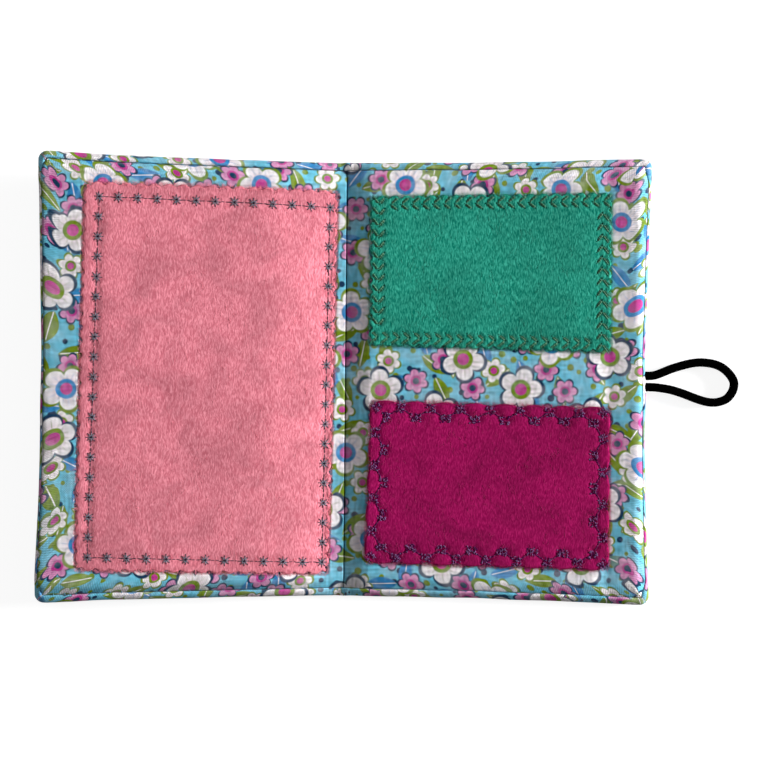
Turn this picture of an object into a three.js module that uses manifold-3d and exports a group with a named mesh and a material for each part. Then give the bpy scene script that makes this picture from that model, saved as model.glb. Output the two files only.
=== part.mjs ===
// Needle book lying open: two padded cloth covers, felt leaves with sewn borders,
// an elastic loop on the back cover and the button that it hooks over on the front cover.
// Millimetres. The crease lies on Y, the back cover on +X, and Z is up from the table.

import * as THREE from 'three';
import { mergeVertices } from 'three/addons/utils/BufferGeometryUtils.js';
import Module from 'manifold-3d';

const wasm = await Module();
wasm.setup();

// Covers
const COVER_WIDTH = 105;
const EDGE_HEIGHT = 154;
const CREASE_HEIGHT = 149;
const CORNER_RADIUS = 3.6;
const SIDE_DRAW = 2;
const END_DRAW = 0.6;
const ROLL = 2;
const RIM_WIDTH = 2.6;
const CREASE_CLEARANCE = 0.6;
const CREASE_FALL = 7;
const SPINE_ROLL = 1.9;
const SPINE_WALL = 2.7;
const SEAM_DIP = 0.4;
const PUFF = 0.4;
const PUFF_WIDTH = 6;
const PUFF_START = 20;

// Layers
const CLOTH = 0.5;
const STIFFENER = 1.2;
const WADDING = 2.3;
const FELT = 1.3;
const THREAD = 0.5;
const LAYER_GAP = 0.3;
const FOLD_CLEARANCE = 0.3;
const TABLE_LIFT = 0.1;

// Pink leaf on the front cover
const PINK_EDGE_MARGIN = 14.3;
const PINK_CREASE_MARGIN = 4;
const PINK_END_MARGIN = 11;
const PINK_TURN = -1;
const PINKING_PITCH = 4.7;
const PINKING_DEPTH = 1.3;
const STAR_PITCH = 6.75;
const STAR_RADIUS = 1.85;
const STAR_WAIST = 1;
const STAR_INSET = 4.6;

// Green and magenta patches on the back cover
const PATCH_EDGE_MARGIN = 14.6;
const PATCH_CREASE_MARGIN = 7.8;
const PATCH_END_MARGIN = 12;
const PATCH_GAP = 18.4;
const PATCH_GAP_RISE = 1.3;
const PATCH_GAP_TURN = -1.2;
const PLAIT_PITCH = 4.2;
const PLAIT_DEPTH = 0.9;
const PLAIT_INSET = 1.4;
const PLAIT_WIDTH = 3.4;
const PLAIT_STRAND = 1;
const FLOWER_PITCH = 9.3;
const FLOWER_DEPTH = 1.2;
const FLOWER_INSET = 2.4;
const FLOWER_WIDTH = 4;
const FLOWER_STRAND = 0.6;
const FLOWER_SWELL = 1.6;

// Elastic loop on the back cover
const CORD = 3;
const CORD_SIDES = 8;
const CORD_CLEARANCE = 0.3;
const TAIL_LENGTH = 9;
const TACK_BACK = 6;
const TACK_WIDTH = 1.2;
const TACK_THREAD = 0.25;
const TACK_CLEARANCE = 0.15;

// Button on the front cover
const BUTTON_RADIUS = 7;
const BUTTON_THICKNESS = 2.8;
const BUTTON_EDGE = 0.6;
const BUTTON_RIM = 1;
const BUTTON_DISH = 0.8;
const BUTTON_INSET = 18;
const BUTTON_SIDES = 32;
const SHANK = 1.3;
const SHANK_SIDES = 12;
const HOLE_RADIUS = 0.85;
const HOLE_SPACING = 2.4;
const POST_CLEARANCE = 0.3;
const BAR_LIFT = 0.2;
const BAR_THICKNESS = 0.4;

// Elastic route: distance out from the root, distance along the edge, share of the way down to the table
const LOOP_ROUTE = [
  [0, 2.1, 0],
  [2.4, 2.63, 0.1],
  [7.3, 4.6, 0.35],
  [12.6, 6.2, 0.6],
  [16.1, 6.8, 0.75],
  [18.9, 6.8, 0.85],
  [22.1, 6.3, 0.95],
  [24.9, 5.1, 1],
  [27.3, 3, 1],
  [28.8, 0.6, 1],
  [28.9, -1.5, 1],
  [28.1, -3.65, 1],
  [26.4, -5.6, 1],
  [23.9, -6.65, 1],
  [21.4, -6.9, 0.95],
  [18.7, -6.5, 0.85],
  [15.5, -5.5, 0.75],
  [10.9, -3.8, 0.55],
  [6.7, -2.6, 0.3],
  [2.4, -1.95, 0.1],
  [0, -1.8, 0],
];
const LOOP_STEPS = 44;

// Heights of the layers above the outer face of a cover
const STIFFENER_BASE = CLOTH + LAYER_GAP;
const WADDING_BASE = STIFFENER_BASE + STIFFENER + LAYER_GAP;
const WADDING_TOP = WADDING_BASE + WADDING;
const LINING_BASE = WADDING_TOP + LAYER_GAP;
const LINING_TOP = LINING_BASE + CLOTH;
const LINING_CREASE = SPINE_WALL + LAYER_GAP;
const FELT_BASE = LINING_TOP + LAYER_GAP;
const THREAD_BASE = FELT_BASE + FELT + LAYER_GAP;
const FOLD_HEIGHT = THREAD_BASE + THREAD + FOLD_CLEARANCE;
const CORD_HEIGHT = (CLOTH + LINING_BASE) / 2;

// Places across the covers
const SEAM_INSET = RIM_WIDTH + LAYER_GAP;
const LINING_INSET = SEAM_INSET + THREAD + LAYER_GAP;
const EDGE_MIDDLE = COVER_WIDTH - SIDE_DRAW;
const LOOP_ROOT = EDGE_MIDDLE + CORD_CLEARANCE + CORD / 2;
const BUTTON_PLACE = COVER_WIDTH - BUTTON_INSET;
const BUTTON_BACK = LAYER_GAP + SHANK + LAYER_GAP;

// The front cover leans on its button: the tilt about the fold that brings the button's rim to the table
function restTilt() {
  const drop = FOLD_HEIGHT + BUTTON_BACK + BUTTON_THICKNESS;
  const reach = BUTTON_PLACE - BUTTON_RADIUS + BUTTON_EDGE;
  return Math.acos(FOLD_HEIGHT / Math.hypot(drop, reach)) - Math.atan2(reach, drop);
}

// Booleans on closed meshes

function toSolid(geometry) {
  const bare = geometry.clone();
  bare.deleteAttribute('normal');
  bare.deleteAttribute('uv');
  const merged = mergeVertices(bare, 1e-4);
  return new wasm.Manifold(new wasm.Mesh({
    numProp: 3,
    vertProperties: merged.attributes.position.array,
    triVerts: merged.index.array,
  }));
}

function toGeometry(solid) {
  const mesh = solid.getMesh();
  const geometry = new THREE.BufferGeometry();
  geometry.setAttribute('position', new THREE.BufferAttribute(mesh.vertProperties, 3));
  geometry.setIndex(new THREE.BufferAttribute(mesh.triVerts, 1));
  return geometry;
}

function joined(geometries) {
  return toGeometry(geometries.map(toSolid).reduce((sum, solid) => sum.add(solid)));
}

function cut(geometry, tools) {
  return toGeometry(tools.map(toSolid).reduce((rest, tool) => rest.subtract(tool), toSolid(geometry)));
}

// Closed surfaces

function surface(points, faces) {
  const geometry = new THREE.BufferGeometry();
  geometry.setAttribute('position', new THREE.Float32BufferAttribute(points.flat(), 3));
  geometry.setIndex(faces.flat());
  return geometry;
}

function strip(rings, closed) {
  const count = rings[0].length;
  const last = closed ? count : count - 1;
  const faces = [];
  for (let level = 0; level < rings.length - 1; level += 1) {
    for (let step = 0; step < last; step += 1) {
      const low = level * count;
      const high = low + count;
      const next = (step + 1) % count;
      faces.push([low + step, low + next, high + next]);
      faces.push([low + step, high + next, high + step]);
    }
  }
  return faces;
}

// Rings run counter-clockwise seen from above, from an underside to an upper side
function loft(rings) {
  const start = (rings.length - 1) * rings[0].length;
  const cap = (ring) => {
    const outline = ring.map(([x, y]) => new THREE.Vector2(x, y));
    return THREE.ShapeUtils.triangulateShape(outline, []);
  };
  const under = cap(rings[0]).map(([a, b, c]) => [a, c, b]);
  const over = cap(rings[rings.length - 1]).map((face) => face.map((index) => index + start));
  return surface(rings.flat(), [...under, ...strip(rings, true), ...over]);
}

// A strip of square section along a path, given as its outer and inner lower edges
function ribbon(outer, inner, thickness, closed) {
  const raised = (points) => points.map(([x, y, z]) => [x, y, z + thickness]);
  const rails = [outer, raised(outer), raised(inner), inner];
  const count = outer.length;
  const end = count - 1;
  const faces = strip([...rails, outer], closed).map((face) => (
    face.map((index) => index % (rails.length * count))
  ));
  if (!closed) {
    faces.push([0, count, 2 * count], [0, 2 * count, 3 * count]);
    faces.push([end, end + 2 * count, end + count], [end, end + 3 * count, end + 2 * count]);
  }
  return surface(rails.flat(), faces);
}

function slab(outline, base, thickness) {
  const shape = new THREE.Shape(outline);
  const geometry = new THREE.ExtrudeGeometry(shape, { depth: thickness, bevelEnabled: false });
  geometry.translate(0, 0, base);
  return geometry;
}

function box(low, high) {
  const geometry = new THREE.BoxGeometry(...high.map((value, axis) => value - low[axis]));
  geometry.translate(...high.map((value, axis) => (value + low[axis]) / 2));
  return geometry;
}

// Outline of a cover

const END_STEPS = [0.02, 0.04, 0.06, 0.08, 0.34, 0.67];
const CORNER_STEPS = [0, 0.25, 0.5, 0.75, 1];
const EDGE_STEPS = [1 / 6, 2 / 6, 3 / 6, 4 / 6, 5 / 6];

function smooth(value) {
  const share = THREE.MathUtils.clamp(value, 0, 1);
  return share * share * (3 - 2 * share);
}

// How far the padding has risen from the crease to its full height
function rise(across) {
  return smooth((across - CREASE_CLEARANCE) / CREASE_FALL);
}

// The padding puffs up beside the edge seam, but not where it falls to the crease
function puffed(across) {
  return smooth((across - CREASE_CLEARANCE - CREASE_FALL) / PUFF_START);
}

function coverEnd(across) {
  return (CREASE_HEIGHT + ((EDGE_HEIGHT - CREASE_HEIGHT) * across) / COVER_WIDTH) / 2;
}

// The sides of a turned-out cover are drawn in between its corners
function drawnIn(across, along) {
  const share = across / COVER_WIDTH;
  const height = (2 * along) / EDGE_HEIGHT;
  return [
    across - SIDE_DRAW * share ** 3 * (1 - height ** 2),
    along - END_DRAW * height ** 3 * 4 * share * (1 - share),
  ];
}

// Upper half of the outline, from the crease round the outer corner
function coverHalf(edgeInset, creaseInset) {
  const start = CREASE_CLEARANCE + creaseInset;
  const radius = Math.max(CORNER_RADIUS - edgeInset, LAYER_GAP);
  const corner = COVER_WIDTH - edgeInset - radius;
  const ends = [0, ...END_STEPS].map((share) => {
    const across = THREE.MathUtils.lerp(start, corner, share);
    return [across, coverEnd(across) - edgeInset];
  });
  const arc = CORNER_STEPS.map((share) => {
    const turn = (share * Math.PI) / 2;
    const along = coverEnd(corner) - edgeInset - radius * (1 - Math.cos(turn));
    return [corner + radius * Math.sin(turn), along];
  });
  return [...ends, ...arc];
}

// One closed ring round a cover, counter-clockwise from the crease; side is 1 for the back, -1 for the front
function coverRing(side, edgeInset, creaseInset, height) {
  const upper = coverHalf(edgeInset, creaseInset);
  const [edge, top] = upper[upper.length - 1];
  const lower = upper.map(([across, along]) => [across, -along]);
  const outer = EDGE_STEPS.map((share) => [edge, top * (2 * share - 1)]);
  const ring = [...lower, ...outer, ...upper.reverse()].map(([across, along]) => {
    const [x, y] = drawnIn(across, along);
    return [side * x, y, height(across)];
  });
  return side > 0 ? ring : ring.reverse();
}

function sloped(creaseHeight, fullHeight) {
  return (across) => THREE.MathUtils.lerp(creaseHeight, fullHeight, rise(across));
}

// Pieces of a cover

// A shallow tray of cloth whose rim rolls over onto the inner face, with a low wall at the crease
function outerCloth(side) {
  const quarter = [0, 0.5, 1].map((share) => (share * Math.PI) / 2);
  const climb = SPINE_WALL - SPINE_ROLL;
  const lower = (skin) => quarter.map((turn) => [
    ROLL - (ROLL - skin) * Math.sin(turn),
    ROLL - (ROLL - skin) * Math.cos(turn),
    SPINE_ROLL - (SPINE_ROLL - skin) * Math.sin(turn),
    SPINE_ROLL - (SPINE_ROLL - skin) * Math.cos(turn),
  ]);
  const upper = (skin) => quarter.map((turn, index) => [
    ROLL - (ROLL - skin) * Math.cos(turn),
    LINING_TOP - ROLL + (ROLL - skin) * Math.sin(turn),
    skin,
    SPINE_ROLL + (climb * (index + 1)) / (quarter.length + 1),
  ]);
  const stations = [
    ...lower(0),
    ...upper(0),
    [RIM_WIDTH, LINING_TOP, 0, SPINE_WALL],
    [RIM_WIDTH, LINING_TOP - CLOTH, CLOTH, SPINE_WALL],
    ...upper(CLOTH).reverse(),
    ...lower(CLOTH).reverse(),
  ];
  return loft(stations.map(([edgeInset, edgeHeight, creaseInset, creaseHeight]) => (
    coverRing(side, edgeInset, creaseInset, sloped(creaseHeight, edgeHeight))
  )));
}

// A sheet that dips to the edge seam, puffs up beside it and falls away to the crease
function lining(side) {
  const layer = (share, lift) => {
    const slope = sloped(LINING_CREASE + lift, LINING_BASE + lift);
    const swell = PUFF * Math.sin(share * Math.PI) - SEAM_DIP * (1 - share) ** 3;
    const height = (across) => slope(across) + swell * puffed(across);
    return coverRing(side, LINING_INSET + share * PUFF_WIDTH, share * CREASE_FALL, height);
  };
  const shares = [0, 0.2, 0.5, 1];
  const under = shares.map((share) => layer(share, 0)).reverse();
  const over = shares.map((share) => layer(share, CLOTH));
  return loft([...under, ...over]);
}

function stiffener(side) {
  const ring = coverRing(side, ROLL, SPINE_ROLL + LAYER_GAP, () => 0);
  return slab(ring.map(([x, y]) => new THREE.Vector2(x, y)), STIFFENER_BASE, STIFFENER);
}

// Padding with rounded shoulders under the rim, cut short of the crease
function wadding(side) {
  const foot = CLOTH + LAYER_GAP;
  const stations = [
    [foot, WADDING_BASE],
    [foot + LAYER_GAP, WADDING_BASE + WADDING / 2],
    [RIM_WIDTH, WADDING_TOP - WADDING / 3],
    [LINING_INSET + LAYER_GAP, WADDING_TOP - SEAM_DIP],
    [LINING_INSET + PUFF_WIDTH, WADDING_TOP],
  ];
  return loft(stations.map(([inset, height]) => (
    coverRing(side, inset, CREASE_FALL + inset - foot, () => height)
  )));
}

// Thread that closes the lining to the rim along the three outer sides
function edgeSeam(side) {
  const slope = sloped(LINING_CREASE, LINING_BASE);
  const height = (across) => slope(across) - SEAM_DIP * puffed(across);
  const outer = coverRing(side, SEAM_INSET, 0, height).slice(1, -1);
  const inner = coverRing(side, SEAM_INSET + THREAD, 0, height).slice(1, -1);
  return ribbon(outer, inner, THREAD, false);
}

// Felt leaves and their sewn borders

// Corners of a felt counter-clockwise from its lower inner one; lines give height against distance across
function backFelt(lowerLine, upperLine) {
  const near = PATCH_CREASE_MARGIN;
  const far = COVER_WIDTH - PATCH_EDGE_MARGIN;
  return [
    new THREE.Vector2(near, lowerLine(near)),
    new THREE.Vector2(far, lowerLine(far)),
    new THREE.Vector2(far, upperLine(far)),
    new THREE.Vector2(near, upperLine(near)),
  ];
}

function gapLine(offset) {
  const slope = Math.tan(THREE.MathUtils.degToRad(PATCH_GAP_TURN));
  return (across) => PATCH_GAP_RISE + slope * (across - COVER_WIDTH / 2) + offset;
}

function greenCorners() {
  return backFelt(gapLine(PATCH_GAP / 2), (across) => coverEnd(across) - PATCH_END_MARGIN);
}

function magentaCorners() {
  return backFelt((across) => PATCH_END_MARGIN - coverEnd(across), gapLine(-PATCH_GAP / 2));
}

function pinkCorners() {
  const near = -PINK_CREASE_MARGIN;
  const far = PINK_EDGE_MARGIN - COVER_WIDTH;
  const half = EDGE_HEIGHT / 2 - PINK_END_MARGIN;
  const centre = new THREE.Vector2((near + far) / 2, 0);
  const turn = THREE.MathUtils.degToRad(PINK_TURN);
  const corners = [[far, -half], [near, -half], [near, half], [far, half]];
  return corners.map(([x, y]) => new THREE.Vector2(x, y).rotateAround(centre, turn));
}

// Moves each corner in along both of its sides by one millimetre
function mitres(corners) {
  return corners.map((corner, index) => {
    const before = corners[(index + corners.length - 1) % corners.length];
    const after = corners[(index + 1) % corners.length];
    const into = corner.clone().sub(before).normalize();
    const out = after.clone().sub(corner).normalize();
    return out.clone().sub(into).divideScalar(into.cross(out));
  });
}

function insetCorners(corners, inset) {
  const inward = mitres(corners);
  return corners.map((corner, index) => corner.clone().addScaledVector(inward[index], inset));
}

// Shares of one repeat in even steps
function even(steps) {
  return Array.from({ length: steps }, (_, step) => step / steps);
}

// Walks round a felt in whole repeats of the pitch on each side, with points at the given shares of a repeat
function walk(corners, pitch, shares, inset) {
  const points = [];
  corners.forEach((corner, index) => {
    const next = (index + 1) % corners.length;
    const repeats = Math.round(corner.distanceTo(corners[next]) / pitch);
    for (let repeat = 0; repeat < repeats; repeat += 1) {
      shares.forEach((share, step) => {
        const line = insetCorners(corners, inset(share, step));
        points.push(line[index].lerp(line[next], (repeat + share) / repeats));
      });
    }
  });
  return points;
}

function atHeight(points, height) {
  return points.map(({ x, y }) => [x, y, height]);
}

// A felt cut in scallops all round, with a full scallop at each corner
function scalloped(corners, pitch, depth) {
  const steps = 4;
  const notch = (share) => depth * (1 - Math.abs(Math.cos(share * Math.PI)));
  const outline = walk(corners, pitch, even(steps), notch);
  const inner = walk(corners, pitch, even(1), () => 2 * depth);
  const middle = new THREE.Vector2();
  corners.forEach((corner) => middle.addScaledVector(corner, 1 / corners.length));
  const layer = [...outline, ...inner, middle];
  const face = [];
  inner.forEach((_, index) => {
    const at = (step) => (index * steps + step) % outline.length;
    const here = outline.length + index;
    const next = outline.length + ((index + 1) % inner.length);
    face.push([here, at(0), at(1)], [here, at(1), at(2)], [here, at(2), next]);
    face.push([next, at(2), at(3)], [next, at(3), at(4)], [layer.length - 1, here, next]);
  });
  const under = face.map(([a, b, c]) => [a, c, b]);
  const over = face.map((corner) => corner.map((index) => index + layer.length));
  const side = outline.flatMap((_, index) => {
    const next = (index + 1) % outline.length;
    const high = index + layer.length;
    return [[index, next, next + layer.length], [index, next + layer.length, high]];
  });
  const points = [...atHeight(layer, FELT_BASE), ...atHeight(layer, FELT_BASE + FELT)];
  return surface(points, [...under, ...side, ...over]);
}

// A closed band of thread round a felt, whose middle and width may change along each repeat
function border(corners, pitch, shares, middle, width) {
  const outer = walk(corners, pitch, shares, (share, step) => middle(share) - width(share, step) / 2);
  const inner = walk(corners, pitch, shares, (share, step) => middle(share) + width(share, step) / 2);
  return ribbon(atHeight(outer, THREAD_BASE), atHeight(inner, THREAD_BASE), THREAD, true);
}

// A line of thread with spikes across it at each star, so that the line ends make the other two arms
function starStitching() {
  const spike = STAR_RADIUS / 3 / STAR_PITCH;
  const slant = STAR_RADIUS * Math.SQRT2;
  const widths = [2 * STAR_RADIUS, STAR_WAIST, slant, THREAD, THREAD, slant, STAR_WAIST];
  const shares = [0, spike, 2 * spike, 3 * spike, 1 - 3 * spike, 1 - 2 * spike, 1 - spike];
  return border(pinkCorners(), STAR_PITCH, shares, () => STAR_INSET, (_, step) => widths[step]);
}

// Zigzag between two rows of needle holes
function plaitStitching() {
  const middle = (share) => PLAIT_INSET + (share ? PLAIT_WIDTH : 0);
  return border(greenCorners(), PLAIT_PITCH, even(2), middle, () => PLAIT_STRAND);
}

// Wave between two staggered rows of sewn knots, swelling at each knot
function flowerStitching() {
  const wave = (share) => Math.cos(2 * Math.PI * share);
  const middle = (share) => FLOWER_INSET + (FLOWER_WIDTH * (1 - wave(share))) / 2;
  const width = (share) => FLOWER_STRAND + FLOWER_SWELL * wave(share) ** 4;
  return border(magentaCorners(), FLOWER_PITCH, even(6), middle, width);
}

// Crease

// Pleat of the outer cloth that stands between the covers and bends when the book is closed
function spineFold() {
  const gap = LAYER_GAP;
  const wall = CREASE_CLEARANCE - gap;
  const top = SPINE_WALL - CLOTH;
  const foot = SPINE_ROLL / 2;
  const base = TABLE_LIFT;
  const outer = [[wall + foot, base], [wall + foot / 2, CLOTH], [wall, SPINE_ROLL / 2 + gap], [wall, top]];
  const mirrored = [...outer].reverse().map(([x, z]) => [-x, z]);
  const hollow = [[-foot, base], [0, SPINE_ROLL / 2], [foot, base]];
  const outline = [...outer, ...mirrored, ...hollow].map(([x, z]) => new THREE.Vector2(x, z));
  const geometry = slab(outline, -CREASE_HEIGHT / 2, CREASE_HEIGHT);
  geometry.rotateX(Math.PI / 2);
  return geometry;
}

function creaseStitching() {
  const geometry = new THREE.CylinderGeometry(THREAD / 2, THREAD / 2, CREASE_HEIGHT, CORD_SIDES);
  geometry.translate(0, 0, SPINE_WALL - CLOTH + LAYER_GAP + THREAD / 2);
  return geometry;
}

// Elastic

const CORD_ROOTS = [LOOP_ROUTE[0][1], LOOP_ROUTE[LOOP_ROUTE.length - 1][1]];

// Space that the two tails of the elastic need, with a clearance round them
function tailSpace(fromX, toX, clearance) {
  const reach = CORD / 2 + clearance;
  return box(
    [fromX, Math.min(...CORD_ROOTS) - reach, CORD_HEIGHT - reach],
    [toX, Math.max(...CORD_ROOTS) + reach, CORD_HEIGHT + reach],
  );
}

function elasticTail(along) {
  const geometry = new THREE.CylinderGeometry(CORD / 2, CORD / 2, TAIL_LENGTH, CORD_SIDES);
  geometry.rotateZ(Math.PI / 2);
  geometry.translate(EDGE_MIDDLE - TAIL_LENGTH / 2, along, CORD_HEIGHT);
  return geometry;
}

// Binding of thread that holds both tails together inside the cover
function elasticTack() {
  const start = EDGE_MIDDLE - TACK_BACK;
  const outer = tailSpace(start, start + TACK_WIDTH, TACK_CLEARANCE + TACK_THREAD);
  const inner = tailSpace(start - TACK_WIDTH, start + 2 * TACK_WIDTH, TACK_CLEARANCE);
  return cut(outer, [inner]);
}

function elasticLoop() {
  const low = CORD / 2 + TABLE_LIFT;
  const points = LOOP_ROUTE.map(([out, along, sunk]) => (
    new THREE.Vector3(LOOP_ROOT + out, along, THREE.MathUtils.lerp(CORD_HEIGHT, low, sunk))
  ));
  const section = Array.from({ length: CORD_SIDES }, (_, index) => (
    new THREE.Vector2(CORD / 2, 0).rotateAround(new THREE.Vector2(), (2 * Math.PI * index) / CORD_SIDES)
  ));
  const path = new THREE.CatmullRomCurve3(points);
  const tube = new THREE.ExtrudeGeometry(new THREE.Shape(section), { steps: LOOP_STEPS, extrudePath: path });
  const roots = [points[0], points[points.length - 1]].map((root) => (
    new THREE.SphereGeometry(CORD / 2, CORD_SIDES, CORD_SIDES - 2).translate(root.x, root.y, root.z)
  ));
  return joined([tube, ...roots]);
}

// Button and its thread, on an axis that points away from the cover

const HOLE_PLACES = [[-1, -1], [-1, 1], [1, -1], [1, 1]].map((signs) => (
  signs.map((sign) => (sign * HOLE_SPACING) / 2)
));

function underCover(geometry) {
  geometry.rotateX(-Math.PI / 2);
  geometry.translate(-BUTTON_PLACE, 0, 0);
  return geometry;
}

function post(radius, start, end, [x, y], sides) {
  const geometry = new THREE.CylinderGeometry(radius, radius, end - start, sides);
  geometry.translate(x, (start + end) / 2, y);
  return geometry;
}

function button() {
  const front = BUTTON_BACK + BUTTON_THICKNESS;
  const crest = BUTTON_RADIUS - BUTTON_EDGE - BUTTON_RIM;
  const profile = [
    [0, BUTTON_BACK],
    [BUTTON_RADIUS - BUTTON_EDGE, BUTTON_BACK],
    [BUTTON_RADIUS, BUTTON_BACK + BUTTON_EDGE],
    [BUTTON_RADIUS, front - BUTTON_EDGE],
    [BUTTON_RADIUS - BUTTON_EDGE, front],
    [crest, front],
    [crest - BUTTON_DISH, front - BUTTON_DISH],
    [0, front - BUTTON_DISH],
  ];
  const disc = new THREE.LatheGeometry(profile.map(([x, y]) => new THREE.Vector2(x, y)), BUTTON_SIDES);
  const holes = HOLE_PLACES.map((place) => post(HOLE_RADIUS, 0, 2 * front, place, SHANK_SIDES));
  return underCover(cut(disc, holes));
}

// Wound shank, four strands through the holes and two bars across the dish
function buttonThread() {
  const strand = HOLE_RADIUS - POST_CLEARANCE;
  const floor = BUTTON_BACK + BUTTON_THICKNESS - BUTTON_DISH;
  const top = floor + BAR_LIFT + BAR_THICKNESS;
  const reach = HOLE_SPACING / 2 + strand;
  const shank = post(Math.hypot(reach, reach), LAYER_GAP, LAYER_GAP + SHANK, [0, 0], SHANK_SIDES);
  const strands = HOLE_PLACES.map((place) => post(strand, LAYER_GAP + SHANK / 2, top, place, CORD_SIDES));
  const bars = [-1, 1].map((sign) => {
    const middle = (sign * HOLE_SPACING) / 2;
    return box([-reach, floor + BAR_LIFT, middle - strand], [reach, top, middle + strand]);
  });
  return underCover(joined([shank, ...strands, ...bars]));
}

// Colours and finishes
const PRINT = { color: 0x6ebdd8, roughness: 0.85, metalness: 0 };
const BOARD = { color: 0xd8d2c4, roughness: 0.9, metalness: 0 };
const FLEECE = { color: 0xf2f0ea, roughness: 1, metalness: 0 };
const SEWING = { color: 0x5c93ad, roughness: 0.7, metalness: 0 };
const PINK = { color: 0xd0798a, roughness: 1, metalness: 0 };
const GREEN = { color: 0x258a75, roughness: 1, metalness: 0 };
const MAGENTA = { color: 0x900d4f, roughness: 1, metalness: 0 };
const SLATE = { color: 0x3a3648, roughness: 0.6, metalness: 0 };
const FERN = { color: 0x2f6b4c, roughness: 0.6, metalness: 0 };
const PLUM = { color: 0x4b1540, roughness: 0.6, metalness: 0 };
const BLACK = { color: 0x0a0a0b, roughness: 0.75, metalness: 0 };
const PEARL = { color: 0x8f1f63, roughness: 0.3, metalness: 0 };

function node(name, geometry, finish) {
  const plain = geometry.index ? geometry.toNonIndexed() : geometry;
  plain.computeVertexNormals();
  const mesh = new THREE.Mesh(plain, new THREE.MeshStandardMaterial(finish));
  mesh.name = name;
  return mesh;
}

function frontCover() {
  const flat = new THREE.Group();
  flat.position.z = -FOLD_HEIGHT;
  flat.add(
    node('front_outer_cloth', outerCloth(-1), PRINT),
    node('front_stiffener', stiffener(-1), BOARD),
    node('front_wadding', wadding(-1), FLEECE),
    node('front_lining', lining(-1), PRINT),
    node('front_edge_seam', edgeSeam(-1), SEWING),
    node('pink_felt', scalloped(pinkCorners(), PINKING_PITCH, PINKING_DEPTH), PINK),
    node('star_stitching', starStitching(), SLATE),
    node('button', button(), PEARL),
    node('button_thread', buttonThread(), SLATE),
  );
  const hinged = new THREE.Group();
  hinged.position.z = FOLD_HEIGHT;
  hinged.rotation.y = restTilt();
  hinged.add(flat);
  return hinged;
}

function backCover() {
  const inside = EDGE_MIDDLE - TAIL_LENGTH - CORD_CLEARANCE;
  const room = tailSpace(inside, COVER_WIDTH, TACK_CLEARANCE + TACK_THREAD + CORD_CLEARANCE);
  const slot = tailSpace(EDGE_MIDDLE - ROLL, COVER_WIDTH, CORD_CLEARANCE);
  const group = new THREE.Group();
  group.add(
    node('back_outer_cloth', cut(outerCloth(1), [slot]), PRINT),
    node('back_stiffener', cut(stiffener(1), [room]), BOARD),
    node('back_wadding', cut(wadding(1), [room]), FLEECE),
    node('back_lining', lining(1), PRINT),
    node('back_edge_seam', edgeSeam(1), SEWING),
    node('green_felt', scalloped(greenCorners(), PLAIT_PITCH, PLAIT_DEPTH), GREEN),
    node('plait_stitching', plaitStitching(), FERN),
    node('magenta_felt', scalloped(magentaCorners(), FLOWER_PITCH, FLOWER_DEPTH), MAGENTA),
    node('flower_stitching', flowerStitching(), PLUM),
    node('spine_fold', spineFold(), PRINT),
    node('crease_stitching', creaseStitching(), SEWING),
    node('elastic_tail_upper', elasticTail(CORD_ROOTS[0]), BLACK),
    node('elastic_tail_lower', elasticTail(CORD_ROOTS[1]), BLACK),
    node('elastic_tack', elasticTack(), SEWING),
    node('elastic_loop', elasticLoop(), BLACK),
  );
  return group;
}

const needleBook = new THREE.Group();
needleBook.name = 'needle_book';
needleBook.add(frontCover(), backCover());

export default needleBook;
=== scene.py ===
"""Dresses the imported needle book: printed cotton, felts with sewn borders, elastic and button."""

import math
import random

import bmesh
import bpy
from bpy.props import FloatProperty, FloatVectorProperty, IntProperty, PointerProperty
from mathutils import Matrix, Vector, geometry, noise


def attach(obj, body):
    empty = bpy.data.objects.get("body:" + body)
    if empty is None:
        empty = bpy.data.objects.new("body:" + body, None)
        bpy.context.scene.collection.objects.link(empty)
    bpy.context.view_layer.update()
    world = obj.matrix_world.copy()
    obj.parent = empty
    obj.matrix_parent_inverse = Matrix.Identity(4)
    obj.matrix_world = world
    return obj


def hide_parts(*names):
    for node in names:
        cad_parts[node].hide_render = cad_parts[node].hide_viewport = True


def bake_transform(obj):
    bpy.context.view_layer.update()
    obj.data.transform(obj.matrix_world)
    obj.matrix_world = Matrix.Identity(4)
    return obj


bl_info = {
    "name": "Needle book",
    "version": (1, 0, 0),
    "blender": (4, 5, 0),
    "location": "View3D > Sidebar > Needle book",
    "description": "Makes the cloth, felt, stitches, elastic and button of an open needle book",
    "category": "Object",
}

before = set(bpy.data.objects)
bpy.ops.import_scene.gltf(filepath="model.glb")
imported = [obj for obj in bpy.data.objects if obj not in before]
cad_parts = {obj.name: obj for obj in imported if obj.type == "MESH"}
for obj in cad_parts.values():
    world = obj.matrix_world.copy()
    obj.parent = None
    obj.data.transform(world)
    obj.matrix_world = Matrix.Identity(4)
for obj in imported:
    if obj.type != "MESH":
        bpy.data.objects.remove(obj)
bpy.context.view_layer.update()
MM = 0.001

# Covers lying flat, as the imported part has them, and the side of the crease that each is on
COVERS = (("front", -1), ("back", 1))
COVER_WIDTH = 105 * MM
EDGE_HEIGHT = 154 * MM
CREASE_HEIGHT = 149 * MM
CORNER_RADIUS = 3.6 * MM
SIDE_DRAW = 2 * MM
END_DRAW = 0.6 * MM
FOLD_HEIGHT = 8.1 * MM
FRONT_LEAN = math.radians(3.3276)
COVER_TOP = 5.4 * MM
FELT_TOP = 7 * MM
SEAM_INSET = 3.1 * MM

# Where the strip of lining beyond the felts begins, in millimetres from the crease
STRIP_START = 84

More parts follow.
